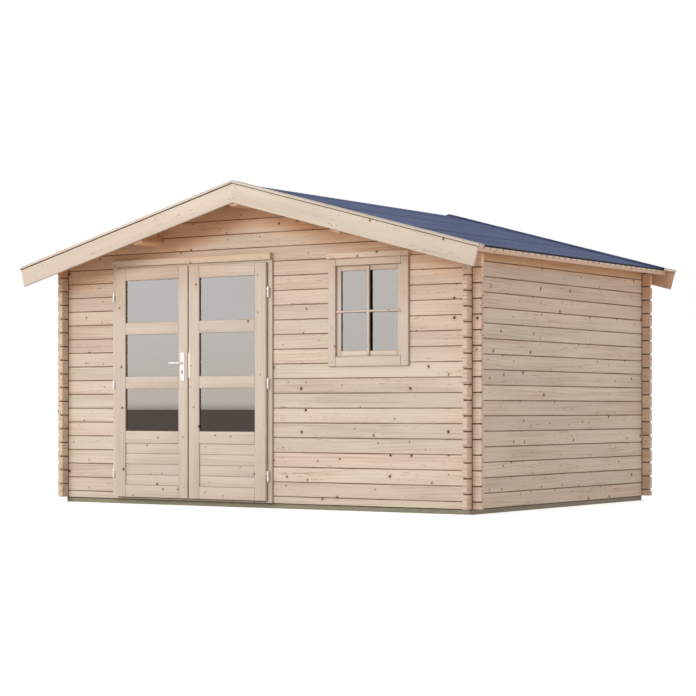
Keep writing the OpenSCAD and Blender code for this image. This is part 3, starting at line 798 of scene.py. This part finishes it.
def satin_steel():
    """Brushed steel of the lock strip."""
    return clouded(
        "Satin_steel", (900.0, 900.0, 30.0), 2.0, 0.3, linear(226, 218, 208), linear(206, 198, 188),
        (0.42, 0.55), Metallic=0.7,
    )


def pane_glass():
    """Panes of faintly tinted float glass."""
    return clouded(
        "Pane_glass", (3.0, 3.0, 3.0), 2.0, 0.3, (0.032, 0.024, 0.020), (0.028, 0.021, 0.018),
        Roughness=0.0, Transmission_Weight=1.0, IOR=1.65,
    )


def joinery_spruce():
    """Planed spruce of doors, frames and casings, with painted shade close under the roof."""
    colours = bpy.context.scene.cabin_colours
    return planed_spruce(
        "Joinery_spruce", colours.board_pale, colours.board_dark, 0.28, vary=0.4, shade=(0.92, 0.86, 0.79)
    )


def roof_spruce():
    """Planed spruce of roof boards, paler at their sawn ends as painted light."""
    ends = (linear(240, 226, 212), linear(222, 200, 180), "x")
    return planed_spruce("Roof_spruce", linear(222, 197, 174), linear(204, 172, 145), 0.22, ends=ends)


def barge_spruce(end):
    """Plain spruce of barge boards and caps, paler at the front; the rear boards' deeper, redder colour is
    painted shade under the roof.
    """
    if end == "front":
        return planed_spruce("Barge_spruce", linear(224, 208, 192), linear(211, 192, 175), 0.12)
    return planed_spruce("Rear_barge_spruce_painted_shade", linear(227, 190, 157), linear(209, 167, 133), 0.16)


class CABIN_OT_log_walls(bpy.types.Operator):
    """Finish the log walls, purlins, laths, bearers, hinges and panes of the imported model"""

    bl_idname = "cabin.log_walls"
    bl_label = "Log walls and packed nodes"

    def execute(self, context):
        ends = (0.0, HALF_WIDTH)
        # Painted roof shade per wall: depth where it starts, depth where it is full and the height below which
        # it stops; then the painted shade and warm bounce light under the roof, and the painted light and
        # shade on the log ends
        gable = (0.39, 0.20, 1.60)
        front = wall_logs(
            "Front_logs", "xzy", 0.0, ends, gable, ((1.19, 0.95, 0.80), (1.36, 1.22, 1.09)),
            (1.02, 0.97, 0.95),
        )
        dress(
            front, "front_wall_left", "front_wall_middle", "front_wall_under_window", "front_wall_right",
            "front_gable",
        )
        back = wall_logs("Back_logs", "xzy", 0.0, ends, gable, ((1.05, 0.90, 0.78),), (1.16, 1.05, 0.99))
        dress(back, "back_wall")
        side = wall_logs(
            "Side_logs", "yzx", 0.5, (WALL_FACE + HALF_DEPTH, HALF_DEPTH), (0.17, 0.10, 1.0),
            ((1.05, 0.80, 0.59),), (1.02, 0.95, 0.89),
        )
        dress(side, "left_wall", "right_wall")
        # The purlins' deep orange colours are painted shade under the roof
        beam = planed_spruce(
            "Purlin_spruce_painted_shade", linear(232, 190, 150), linear(196, 146, 106), 0.4, "yxz",
            (linear(222, 180, 144), linear(192, 150, 114), "y"),
        )
        dress(beam, "ridge_purlin", "left_purlin", "right_purlin")
        lath = planed_spruce("Lath_spruce", linear(222, 192, 168), linear(204, 168, 142), 0.15, "yzx")
        dress(lath, "eave_laths")
        level = planed_spruce("Level_spruce", linear(224, 202, 178), linear(206, 178, 150), 0.28, "xzy")
        dress(level, "door_drip_board", "window_drip_board", "window_frame")
        dress(treated_timber(), "long_bearers", "side_bearers", "floor_joists")
        dress(plated_zinc(), "frame_hinges", "left_leaf_hinges", "right_leaf_hinges")
        dress(pane_glass(), "left_leaf_glass", "right_leaf_glass", "window_glass")
        return {"FINISHED"}


class CABIN_OT_roof_boards(bpy.types.Operator):
    """Lay the roof boards side by side on both slopes"""

    bl_idname = "cabin.roof_boards"
    bl_label = "Roof boards"

    def execute(self, context):
        sizes = context.scene.cabin_sizes
        y0 = DECK_LOW.y
        count = round((DECK_HIGH.y - y0) / sizes.roof_board)
        step = (DECK_HIGH.y - y0) / count
        for side, name in SIDES:
            first = slope_board(
                side, -0.03, EAVE_X * SLOPE, y0 + BOARD_GAP, y0 + step - BOARD_GAP, -DECK_T, 0.0, "xyz", 3.0,
                0.0015, sizes.roof_vee,
            )
            boards = [first]
            for k in range(1, count):
                boards.append(copy_of(first, (0, k * step, 0), 3.0 + 1.31 * k + 57.0 * (side > 0)))
            settle(
                boards, f"roof_boards_{name}", "cabin", "roof_timber", roof_spruce(), f"{name}_roof_boards"
            )
        return {"FINISHED"}


class CABIN_OT_roof_felt(bpy.types.Operator):
    """Lay the felt in overlapping strips down each slope, with one over the ridge and a hem at the eave"""

    bl_idname = "cabin.roof_felt"
    bl_label = "Roof felt"

    def strip(self, side, upper, lower, y0, y1, lift, rise):
        """One strip of felt, raised over the boards; its lower edge lies on the strip below it."""
        deselect()
        bpy.ops.mesh.primitive_plane_add(size=1, location=(side * (upper + lower) / 2, (y0 + y1) / 2, 0.0))
        bpy.context.object.scale = (lower - upper, y1 - y0, 1)
        piece = fixed("strip")
        with editing(piece):
            choose(piece, "EDGE", lambda edge: all(abs(v.co.x - side * lower) < 1e-5 for v in edge.verts))
            bpy.ops.transform.translate(value=(0, 0, lift))
            bpy.ops.mesh.select_all(action="SELECT")
            bpy.ops.mesh.subdivide(number_cuts=12)
            bpy.ops.mesh.normals_make_consistent(inside=False)
            choose(piece, "FACE", lambda face: face.normal.z < -0.5)
            bpy.ops.mesh.flip_normals()
        wave = piece.modifiers.new("waves", "DISPLACE")
        wave.texture = bpy.data.textures.new("felt_waves", "CLOUDS")
        wave.texture.noise_scale = 0.35
        wave.texture_coords = "LOCAL"
        wave.strength = 0.0016
        wave.mid_level = 0.5
        bpy.ops.object.modifier_apply(modifier=wave.name)
        body = piece.modifiers.new("thickness", "SOLIDIFY")
        body.thickness = 0.0016
        body.offset = -1.0
        bpy.ops.object.modifier_apply(modifier=body.name)
        onto_slope(piece, side)
        piece.data.transform(Matrix.Translation((0, 0, rise)))
        return piece

    def execute(self, context):
        lap = context.scene.cabin_sizes.felt_lap
        low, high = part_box("right_felt")
        verges = (low.y + FELT_INSET, high.y - FELT_INSET)
        reach = EAVE_X * SLOPE + 0.0035
        row = (reach - FELT_TOP) / 3
        for side, name in SIDES:
            strips = []
            for k in range(3):
                upper = max(0.001, FELT_TOP + k * row - lap)
                lower = reach if k == 2 else FELT_TOP + (k + 1) * row
                strips.append(self.strip(side, upper, lower, *verges, 0.0 if k == 2 else 0.0019, 0.0030))
            strips.append(self.strip(side, 0.0, RIDGE_STRIP, *verges, 0.0, 0.0050))
            settle(strips, f"felt_{name}", "cabin", "roof_felt", roof_felt(), f"{name}_felt")
            hem = slope_board(side, reach - 0.009, reach + 0.0012, *verges, -0.004, 0.0085, "yxz", 7.0, 0.003)
            settle([hem], f"felt_hem_{name}", "cabin", "roof_felt", bitumen_edge())
        return {"FINISHED"}


class CABIN_OT_barge_boards(bpy.types.Operator):
    """Fit the four barge boards, plumb at the ridge and square at their feet, and the felt's edge on them,
    which also stands in for the shadow line under the caps
    """

    bl_idname = "cabin.barge_boards"
    bl_label = "Barge boards"

    def execute(self, context):
        reach = (EAVE_X + BARGE_PAST) * SLOPE
        seed = 11.0
        for end in ("front", "rear"):
            for side, name in SIDES:
                node = f"{end}_{name}_barge"
                low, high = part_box(node)
                piece = slope_board(side, -0.06, reach, low.y, high.y, -BARGE_H, 0.0, "xzy", seed, 0.003)
                settle([piece], f"barge_{end}_{name}", "cabin", "roof_timber", barge_spruce(end), node)
                outer = (high.y - 0.001, high.y + 0.0022)
                if end == "front":
                    outer = (low.y - 0.0022, low.y + 0.001)
                # The black felt edge also stands in for painted shade under the caps, deeper on the left
                fold = 0.0055 if name == "left" else 0.0028
                edge = slope_board(side, -0.02, reach, *outer, -fold, -0.0005, "xzy", seed + 1.0, 0.0005)
                settle([edge], f"felt_edge_{end}_{name}", "cabin", "roof_felt", bitumen_edge())
                seed += 2.7
        return {"FINISHED"}


class CABIN_OT_verge_caps(bpy.types.Operator):
    """Lay the caps along the verges over the barge boards, and fold the felt up behind them"""

    bl_idname = "cabin.verge_caps"
    bl_label = "Verge caps"

    def execute(self, context):
        reach = (EAVE_X + CAP_PAST) * SLOPE
        seed = 29.0
        for end in ("front", "rear"):
            low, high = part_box(f"{end}_caps")
            caps = []
            for side, _ in SIDES:
                caps.append(slope_board(side, -0.06, reach, low.y, high.y, 0.0, CAP_T, "xyz", seed, 0.004))
                seed += 3.3
            settle(caps, f"caps_{end}", "cabin", "roof_timber", barge_spruce("front"), f"{end}_caps")
            inner = (high.y, high.y + 0.0016) if end == "front" else (low.y - 0.0016, low.y)
            folds = [
                slope_board(side, -0.02, EAVE_X * SLOPE, *inner, 0.003, 0.0212, "xzy", seed, 0.0005)
                for side, _ in SIDES
            ]
            settle(folds, f"felt_fold_{end}", "cabin", "roof_felt", roof_felt())
        return {"FINISHED"}


class CABIN_OT_floor_boards(bpy.types.Operator):
    """Lay the floor boards across the joists"""

    bl_idname = "cabin.floor_boards"
    bl_label = "Floor boards"

    def execute(self, context):
        low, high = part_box("floor_boards")
        count = round((high.y - low.y) / context.scene.cabin_sizes.floor_board)
        step = (high.y - low.y) / count
        first = board(
            (low.x + 0.001, low.y + BOARD_GAP, low.z),
            (high.x - 0.001, low.y + step - BOARD_GAP, high.z), "xyz", 101.0, 0.002,
        )
        boards = [first] + [copy_of(first, (0, k * step, 0), 101.0 + 1.7 * k) for k in range(1, count)]
        colours = context.scene.cabin_colours
        finish = planed_spruce("Floor_spruce", colours.board_pale, colours.board_dark, 0.3)
        settle(boards, "floor_boarding", "cabin", "floor_timber", finish, "floor_boards")
        return {"FINISHED"}


class CABIN_OT_door_frame(bpy.types.Operator):
    """Fit the door's jambs, head and threshold"""

    bl_idname = "cabin.door_frame"
    bl_label = "Door frame"

    def execute(self, context):
        low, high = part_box("door_jambs")
        inner_low, inner_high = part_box("door_threshold")
        head_low, head_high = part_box("door_head")
        face = WALL_FACE
        rear_top = high.z - FRAME_RISE
        legs = [
            board((low.x, low.y, low.z), (inner_low.x, face, high.z), "zxy", 41.0),
            board((low.x + FRAME_LAP, face, low.z), (inner_low.x, high.y, rear_top), "zxy", 41.0),
            board((inner_high.x, low.y, low.z), (high.x, face, high.z), "zxy", 43.5),
            board((inner_high.x, face, low.z), (high.x - FRAME_LAP, high.y, rear_top), "zxy", 43.5),
        ]
        head = [
            board(head_low, (head_high.x, face, head_high.z), "xzy", 45.0),
            board(
                (head_low.x, face, head_low.z), (head_high.x, head_high.y, head_high.z - FRAME_RISE),
                "xzy", 45.0,
            ),
        ]
        sill = [board(inner_low, inner_high, "xyz", 47.0, 0.003)]
        settle(legs, "door_legs", "cabin", "joinery", joinery_spruce(), "door_jambs")
        settle(head, "door_head_board", "cabin", "joinery", joinery_spruce(), "door_head")
        settle(sill, "door_sill", "cabin", "joinery", joinery_spruce(), "door_threshold")
        return {"FINISHED"}


class CABIN_OT_door_leaves(bpy.types.Operator):
    """Build the two glazed leaves from stiles, rails, panel boards and beads"""

    bl_idname = "cabin.door_leaves"
    bl_label = "Door leaves"

    def execute(self, context):
        sizes = context.scene.cabin_sizes
        for number, (_, side) in enumerate(SIDES):
            low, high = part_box(f"{side}_leaf")
            pane_low, pane_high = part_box(f"{side}_leaf_glass")
            lip_back = low.y + sizes.lip
            left, right = pane_low.x + sizes.seat, pane_high.x - sizes.seat
            seed = 60.0 + 17.0 * number
            parts = []
            # Stiles, with the rebate behind the lip on the hinge side
            for k, (x0, x1) in enumerate(((low.x, left), (right, high.x))):
                seed += 1.9
                parts.append(board((x0, low.y, low.z), (x1, lip_back, high.z), "zxy", seed))
                x0 += sizes.rebate if k == number == 0 else 0.0
                x1 -= sizes.rebate if k == number == 1 else 0.0
                parts.append(board((x0, lip_back, low.z), (x1, high.y, high.z - sizes.rebate), "zxy", seed))
            # Rails, the top one with the rebate too
            field = (high.z - low.z - 5 * sizes.rail) / 4
            for k in range(5):
                seed += 3.7
                z0 = low.z + k * (field + sizes.rail)
                z1 = z0 + sizes.rail
                parts.append(board((left, low.y, z0), (right, lip_back, z1), "xzy", seed))
                z1 -= sizes.rebate if k == 4 else 0.0
                parts.append(board((left, lip_back, z0), (right, high.y, z1), "xzy", seed))
            # Boards of the foot panel, with a vee between them
            foot = low.z + sizes.rail
            step = field / sizes.panel_boards
            first = board(
                (left - 0.006, low.y + 0.010, foot), (right + 0.006, low.y + 0.028, foot + step), "xzy",
                seed + 1.1, 0.003,
            )
            parts.append(first)
            for k in range(1, sizes.panel_boards):
                parts.append(copy_of(first, (0, 0, k * step), seed + 1.1 + 2.3 * k))
            # Beads behind the panes
            width = sizes.bead
            y0, y1 = pane_high.y, pane_high.y + BEAD_T
            base = low.z + sizes.rail + field + sizes.rail
            lying = board((left, y0, base), (right, y1, base + width), "xzy", seed + 3.0, 0.002)
            up = board(
                (left, y0, base + width), (left + width, y1, base + field - width), "zxy", seed + 5.0, 0.002
            )
            for k in range(3):
                rise = k * (field + sizes.rail)
                parts.append(copy_of(lying, (0, 0, rise), seed + 3.0 + k))
                parts.append(copy_of(lying, (0, 0, rise + field - width), seed + 4.0 + k))
                parts.append(copy_of(up, (0, 0, rise), seed + 5.0 + k))
                parts.append(copy_of(up, (right - left - width, 0, rise), seed + 6.0 + k))
            bpy.data.objects.remove(lying)
            bpy.data.objects.remove(up)
            settle(
                parts, f"door_leaf_{side}", f"{side}_door", "joinery", joinery_spruce(), f"{side}_leaf",
                f"{side}_leaf_panel",
            )
        return {"FINISHED"}


class CABIN_OT_door_handle(bpy.types.Operator):
    """Fit the handle plate with its keyhole and collar, the lock's core, the bent lever and the lock strip"""

    bl_idname = "cabin.door_handle"
    bl_label = "Handle and lock strip"

    def plate(self, low, high, x, face, key_z):
        """The plate with its keyhole, and the collar round the lever."""
        piece = fresh_box("plate", (low.x, face, low.z), high)
        ease(piece, 0.002, lambda edge: abs((edge.verts[0].co - edge.verts[1].co).normalized().y) > 0.9, 3)
        ease(piece, 0.0012, before(face + 1e-5))
        carve(piece, fresh_round("bit", 0.0085, 0.006, (x, face, key_z), 28))
        carve(piece, fresh_box(
            "ward", (x - 0.005, face - 0.003, key_z - 0.0245), (x + 0.005, face + 0.003, key_z)
        ))
        collar = fresh_round("collar", 0.013, 0.007, (x, face - 0.0035, low.z + LEVER_UP), 32)
        ease(collar, 0.0015, before(face - 0.006))
        return piece, collar

    def core(self, x, face, key_z):
        """The lock's core in the plate's keyhole, with its own keyway."""
        barrel = fresh_round("barrel", 0.008, 0.0018, (x, face + 0.0021, key_z), 28)
        ease(barrel, 0.0004, before(face + 0.0013), 1)
        carve(barrel, fresh_box(
            "key", (x - 0.0012, face - 0.002, key_z - 0.005), (x + 0.0012, face + 0.0022, key_z + 0.005)
        ))
        web = fresh_box(
            "web", (x - 0.0045, face + 0.0014, key_z - 0.0240), (x + 0.0045, face + 0.003, key_z - 0.0075)
        )
        ease(web, 0.0004, before(face + 0.0015), 1)
        return barrel, web

    def strip(self):
        """The lock strip, bent round the meeting edge of the right leaf."""
        low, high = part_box("lock_strip")
        thick = 0.0015
        piece = fresh_box("strip", low, (low.x + thick, high.y, high.z))
        split_at(piece, (0, low.y + thick, 0), (0, 1, 0))
        with editing(piece):
            choose(
                piece, "FACE",
                lambda face: face.normal.x > 0.9 and face.calc_center_median().y < low.y + thick,
            )
            drag(high.x - low.x - thick, 0, 0)
        ease(piece, 0.0004, sharp, 1)
        return piece

    def lever(self):
        """The round lever, bent towards the hinges, with a domed end."""
        low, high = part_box("lever")
        radius, bend = 0.0075, 0.014
        x = high.x - radius
        z = (low.z + high.z) / 2
        reach = high.y - (low.y + radius) - bend
        deselect()
        bpy.ops.mesh.primitive_circle_add(
            vertices=24, radius=radius, fill_type="NGON", location=(x, high.y, z),
            rotation=(math.pi / 2, 0, 0),
        )
        piece = fixed("lever_bar")
        with editing(piece):
            bpy.ops.mesh.select_mode(type="FACE")
            bpy.ops.mesh.select_all(action="SELECT")
            drag(0, -reach, 0)
            bpy.ops.mesh.spin(
                steps=8, angle=math.pi / 2, center=(x - bend, high.y - reach, z), axis=(0, 0, -1), dupli=False
            )
            drag(0.005 - (x - bend - low.x), 0, 0)
            for step, size in ((0.0025, 0.9), (0.0016, 0.75), (0.0009, 0.6)):
                drag(-step, 0, 0)
                bpy.ops.transform.resize(value=(1, size, size), center_override=(low.x, low.y + radius, z))
            bpy.ops.mesh.select_all(action="SELECT")
            bpy.ops.mesh.remove_doubles(threshold=1e-6)
            bpy.ops.mesh.normals_make_consistent(inside=False)
        return piece

    def execute(self, context):
        low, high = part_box("handle_plate")
        x, face, key_z = (low.x + high.x) / 2, high.y - PLATE_T, low.z + LEVER_UP - KEY_DROP
        plate = self.plate(low, high, x, face, key_z)
        settle(plate, "handle_backplate", "left_door", "hardware", plated_zinc(), "handle_plate")
        settle(self.core(x, face, key_z), "lock_core", "left_door", "hardware", dull_steel())
        settle([self.lever()], "door_lever_bar", "door_lever", "hardware", plated_zinc(), "lever")
        settle([self.strip()], "lock_plate", "right_door", "hardware", satin_steel(), "lock_strip")
        return {"FINISHED"}


class CABIN_OT_window_joinery(bpy.types.Operator):
    """Build the window's sash, beads, crossed bars and casings"""

    bl_idname = "cabin.window_joinery"
    bl_label = "Window joinery"

    def execute(self, context):
        sizes = context.scene.cabin_sizes
        low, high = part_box("window_sash")
        front = low.y
        low.y = WALL_FACE
        pane_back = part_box("window_glass")[1].y
        bead_back = pane_back + BEAD_T
        left, right = low.x + sizes.sash, high.x - sizes.sash
        foot, top = low.z + sizes.sash, high.z - sizes.sash
        bead = sizes.bead
        parts = [
            board(low, (left, high.y, high.z), "zxy", 81.0),
            board((right, low.y, low.z), high, "zxy", 83.3),
            board((left, low.y, low.z), (right, high.y, foot), "xzy", 85.1),
            board((left, low.y, top), (right, high.y, high.z), "xzy", 87.9),
        ]
        # Beads behind the pane
        lying = board((left, pane_back, foot), (right, bead_back, foot + bead), "xzy", 89.0, 0.002)
        standing = board(
            (left, pane_back, foot + bead), (left + bead, bead_back, top - bead), "zxy", 90.0, 0.002
        )
        parts += [lying, copy_of(lying, (0, 0, top - foot - bead), 90.7)]
        parts += [standing, copy_of(standing, (right - left - bead, 0, 0), 91.7)]
        # Crossed bars let into the sash
        middle = (low.x + high.x) / 2
        cross_z = WALL_FOOT + CROSS_BAR_Z
        back = low.y + 0.003
        parts += [
            board(
                (middle - sizes.upright_bar / 2, front, low.z + 0.006),
                (middle + sizes.upright_bar / 2, back, high.z - 0.006), "zxy", 92.0, 0.003,
            ),
            board(
                (low.x + 0.0005, front + 0.0005, cross_z - sizes.cross_bar / 2),
                (high.x - 0.0005, back, cross_z + sizes.cross_bar / 2), "xzy", 93.0, 0.003,
            ),
        ]
        settle(parts, "window_sash_frame", "cabin", "joinery", joinery_spruce(), "window_sash")
        # Casings round the sash
        sash_low, sash_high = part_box("window_sash")
        low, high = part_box("window_side_casings")
        cross_low, cross_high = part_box("window_cross_casings")
        sides = [
            board(low, (cross_low.x, high.y, high.z), "zxy", 94.0, 0.003),
            board((cross_high.x, low.y, low.z), high, "zxy", 96.0, 0.003),
        ]
        levels = [
            board(cross_low, (cross_high.x, cross_high.y, sash_low.z), "xzy", 97.0, 0.003),
            board((cross_low.x, cross_low.y, sash_high.z), cross_high, "xzy", 98.0, 0.003),
        ]
        settle(sides, "window_casings_upright", "cabin", "joinery", joinery_spruce(), "window_side_casings")
        settle(levels, "window_casings_level", "cabin", "joinery", joinery_spruce(), "window_cross_casings")
        return {"FINISHED"}


class CABIN_OT_nail_heads(bpy.types.Operator):
    """Set the nail heads in casings, door frame and barge boards"""

    bl_idname = "cabin.nail_heads"
    bl_label = "Nail heads"

    def head(self):
        """One dished nail head."""
        piece = fresh_round("head", 0.0028, 0.0012, (0, 0, 0), 12)
        with editing(piece):
            choose(piece, "FACE", lambda face: face.normal.y < -0.9)
            bpy.ops.mesh.inset(thickness=0.0008, depth=0)
            drag(0, 0.0004, 0)
        return piece

    def execute(self, context):
        first = self.head()
        places = []
        for node, inset, shares in (
            ("window_side_casings", 0.03, (0.04, 0.36, 0.66, 0.96)),
            ("door_jambs", 0.018, (0.05, 0.35, 0.65, 0.95)),
        ):
            low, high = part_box(node)
            for x in (low.x + inset, high.x - inset):
                places += [(x, low.y, low.z + share * (high.z - low.z)) for share in shares]
        for node in ("door_drip_board", "window_drip_board"):
            low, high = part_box(node)
            places += [(low.x + share * (high.x - low.x), low.y, low.z + 0.02) for share in (0.06, 0.5, 0.94)]
        for side, name in SIDES:
            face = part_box(f"front_{name}_barge")[0].y
            for along in (0.05, 0.93, 1.0, 1.95, 2.05):
                for drop in (0.035, 0.112):
                    x = along - drop * math.sin(PITCH)
                    fall = along * math.tan(PITCH) + drop * math.cos(PITCH)
                    places.append((side * x, face, RIDGE_Z - fall))
        heads = [copy_of(first, place) for place in places]
        bpy.data.objects.remove(first)
        settle(heads, "nail_heads", "cabin", "hardware", dull_steel())
        return {"FINISHED"}


class CABIN_OT_stage(bpy.types.Operator):
    """Set the floor, the soft light and the camera"""

    bl_idname = "cabin.stage"
    bl_label = "Stage"

    def floor(self, lift):
        """A pale floor, lifted to white for the camera; for glossy rays it glows warm, a painted light that
        the panes reflect.
        """

        def build(nodes):
            patch = nodes.noise(nodes.here(), (0.4, 0.4, 0.4))
            camera, glossy = nodes.put("LightPath", {}, "Is Camera Ray", "Is Glossy Ray")
            # The warm glow seen only by glossy rays is painted light for the panes' reflection
            glow = nodes.put(
                "Emission", {"Color": nodes.blend(glossy, (1, 1, 1), (1.0, 0.66, 0.55)),
                             "Strength": camera * lift + glossy * 0.8},
            )
            tree = nodes.tree.nodes
            both = nodes.put("AddShader", {0: tree["Principled BSDF"].outputs[0], 1: glow})
            nodes.feed(tree["Material Output"].inputs["Surface"], both)
            return {
                "Base Color": nodes.blend(patch, (0.64, 0.62, 0.61), (0.61, 0.595, 0.585)), "Roughness": 0.9,
                "Specular IOR Level": 0.0,
            }

        deselect()
        bpy.ops.mesh.primitive_plane_add(size=3000, location=(0, 0, 0))
        piece = bpy.context.object
        piece.name = "studio_floor"
        piece.data.materials.append(new_finish("Studio_floor", build))

    def sky(self, level):
        """Soft light all round, weaker from the right front; white where it is seen."""
        world = bpy.data.worlds.new("Studio")
        bpy.context.scene.world = world
        world.use_nodes = True
        tree = world.node_tree.nodes
        nodes = Nodes(world.node_tree)
        x, y, z = nodes.split(nodes.put("TexCoord", {}, "Generated"))
        soft = tree["Background"]
        nodes.feed(soft.inputs["Color"], (1.0, 0.99, 0.98))
        aside = (x - y) * 0.7071
        nodes.feed(soft.inputs["Strength"], (z * 0.25 + level) * aside.ramp(0.15, 0.85, 1.0, 0.46))
        clear = nodes.put("Background", {"Color": (1, 1, 1), "Strength": 1.0})
        camera, glossy, through = nodes.put(
            "LightPath", {}, "Is Camera Ray", "Is Glossy Ray", "Is Transmission Ray"
        )
        seen = camera.calc("MAXIMUM", glossy).calc("MAXIMUM", through)
        both = nodes.put("MixShader", {0: seen, 1: soft.outputs[0], 2: clear})
        nodes.feed(tree["World Output"].inputs["Surface"], both)

    def softbox(self, name, power, size, place, target):
        """A soft rectangular light that faces a point."""
        lamp = bpy.data.lights.new(name, "AREA")
        lamp.shape = "RECTANGLE"
        lamp.size, lamp.size_y = size
        lamp.energy = power
        holder = bpy.data.objects.new(name, lamp)
        bpy.context.scene.collection.objects.link(holder)
        holder.location = place
        holder.rotation_euler = (Vector(target) - holder.location).to_track_quat("-Z", "Y").to_euler()
        return lamp

    def soften_foot(self, lamp):
        """Dims a softbox towards its foot and warms it."""
        lamp.use_nodes = True
        nodes = Nodes(lamp.node_tree)
        rise = nodes.split(nodes.put("NewGeometry", {}, "Parametric"))[1]
        glow = lamp.node_tree.nodes["Emission"].inputs
        warmth = nodes.blend(rise.ramp(0.0, 0.6), (0.94, 0.845, 0.75), (1.0, 0.957, 0.925))
        nodes.feed(glow["Color"], warmth)
        nodes.feed(glow["Strength"], rise.ramp(-0.03, 0.065, 0.42, 1.0))

    def camera(self):
        """The photo's camera, level and raised by its shift."""
        lens = bpy.data.cameras.new("photo_camera")
        lens.sensor_width = 36.0
        lens.sensor_fit = "HORIZONTAL"
        lens.lens = 104.86
        lens.shift_y = 0.0878
        lens.clip_end = 400.0
        viewer = bpy.data.objects.new("photo_camera", lens)
        bpy.context.scene.collection.objects.link(viewer)
        viewer.location = (9.3768, -14.1526, 0.771)
        viewer.rotation_euler = (math.radians(90), 0, math.radians(33.625))
        bpy.context.scene.camera = viewer

    def execute(self, context):
        look = context.scene.cabin_stage
        self.floor(look.floor_lift)
        self.sky(look.sky)
        self.softbox("front_softbox", look.front_box, (17.0, 11.0), (-5.0, -25.5, 12.0), (0.0, -1.4, 1.2))
        self.soften_foot(self.softbox(
            "pane_softbox", look.pane_box, (6.8, 2.85), (-12.1, -18.0, 2.185), (-12.1, 0.0, 2.185)
        ))
        side = self.softbox("side_softbox", look.side_box, (7.0, 4.6), (11.5, 1.5, 2.2), (1.96, 0.0, 1.2))
        side.color = (1.0, 0.93, 0.95)
        self.camera()
        context.scene.view_settings.view_transform = "Standard"
        return {"FINISHED"}


STEPS = (
    CABIN_OT_log_walls,
    CABIN_OT_floor_boards,
    CABIN_OT_roof_boards,
    CABIN_OT_roof_felt,
    CABIN_OT_barge_boards,
    CABIN_OT_verge_caps,
    CABIN_OT_door_frame,
    CABIN_OT_door_leaves,
    CABIN_OT_door_handle,
    CABIN_OT_window_joinery,
    CABIN_OT_nail_heads,
    CABIN_OT_stage,
)


class CABIN_PT_sidebar(bpy.types.Panel):
    """Lists the sizes, colours and steps of the cabin"""

    bl_idname = "CABIN_PT_sidebar"
    bl_label = "Garden log cabin"
    bl_space_type = "VIEW_3D"
    bl_region_type = "UI"
    bl_category = "Cabin"

    def draw(self, context):
        scene = context.scene
        for group in (scene.cabin_sizes, scene.cabin_colours, scene.cabin_stage):
            column = self.layout.column(align=True)
            for key in group.bl_rna.properties.keys():
                if key not in ("rna_type", "name"):
                    column.prop(group, key)
        column = self.layout.column()
        for step in STEPS:
            column.operator(step.bl_idname)


CLASSES = (CabinSizes, CabinColours, CabinStage, *STEPS, CABIN_PT_sidebar)


def register():
    for item in CLASSES:
        bpy.utils.register_class(item)
    bpy.types.Scene.cabin_sizes = PointerProperty(type=CabinSizes)
    bpy.types.Scene.cabin_colours = PointerProperty(type=CabinColours)
    bpy.types.Scene.cabin_stage = PointerProperty(type=CabinStage)


def unregister():
    del bpy.types.Scene.cabin_stage
    del bpy.types.Scene.cabin_colours
    del bpy.types.Scene.cabin_sizes
    for item in reversed(CLASSES):
        bpy.utils.unregister_class(item)


def main():
    register()
    bpy.ops.cabin.log_walls()
    bpy.ops.cabin.floor_boards()
    bpy.ops.cabin.roof_boards()
    bpy.ops.cabin.roof_felt()
    bpy.ops.cabin.barge_boards()
    bpy.ops.cabin.verge_caps()
    bpy.ops.cabin.door_frame()
    bpy.ops.cabin.door_leaves()
    bpy.ops.cabin.door_handle()
    bpy.ops.cabin.window_joinery()
    bpy.ops.cabin.nail_heads()
    bpy.ops.cabin.stage()


if __name__ == "__main__":
    main()
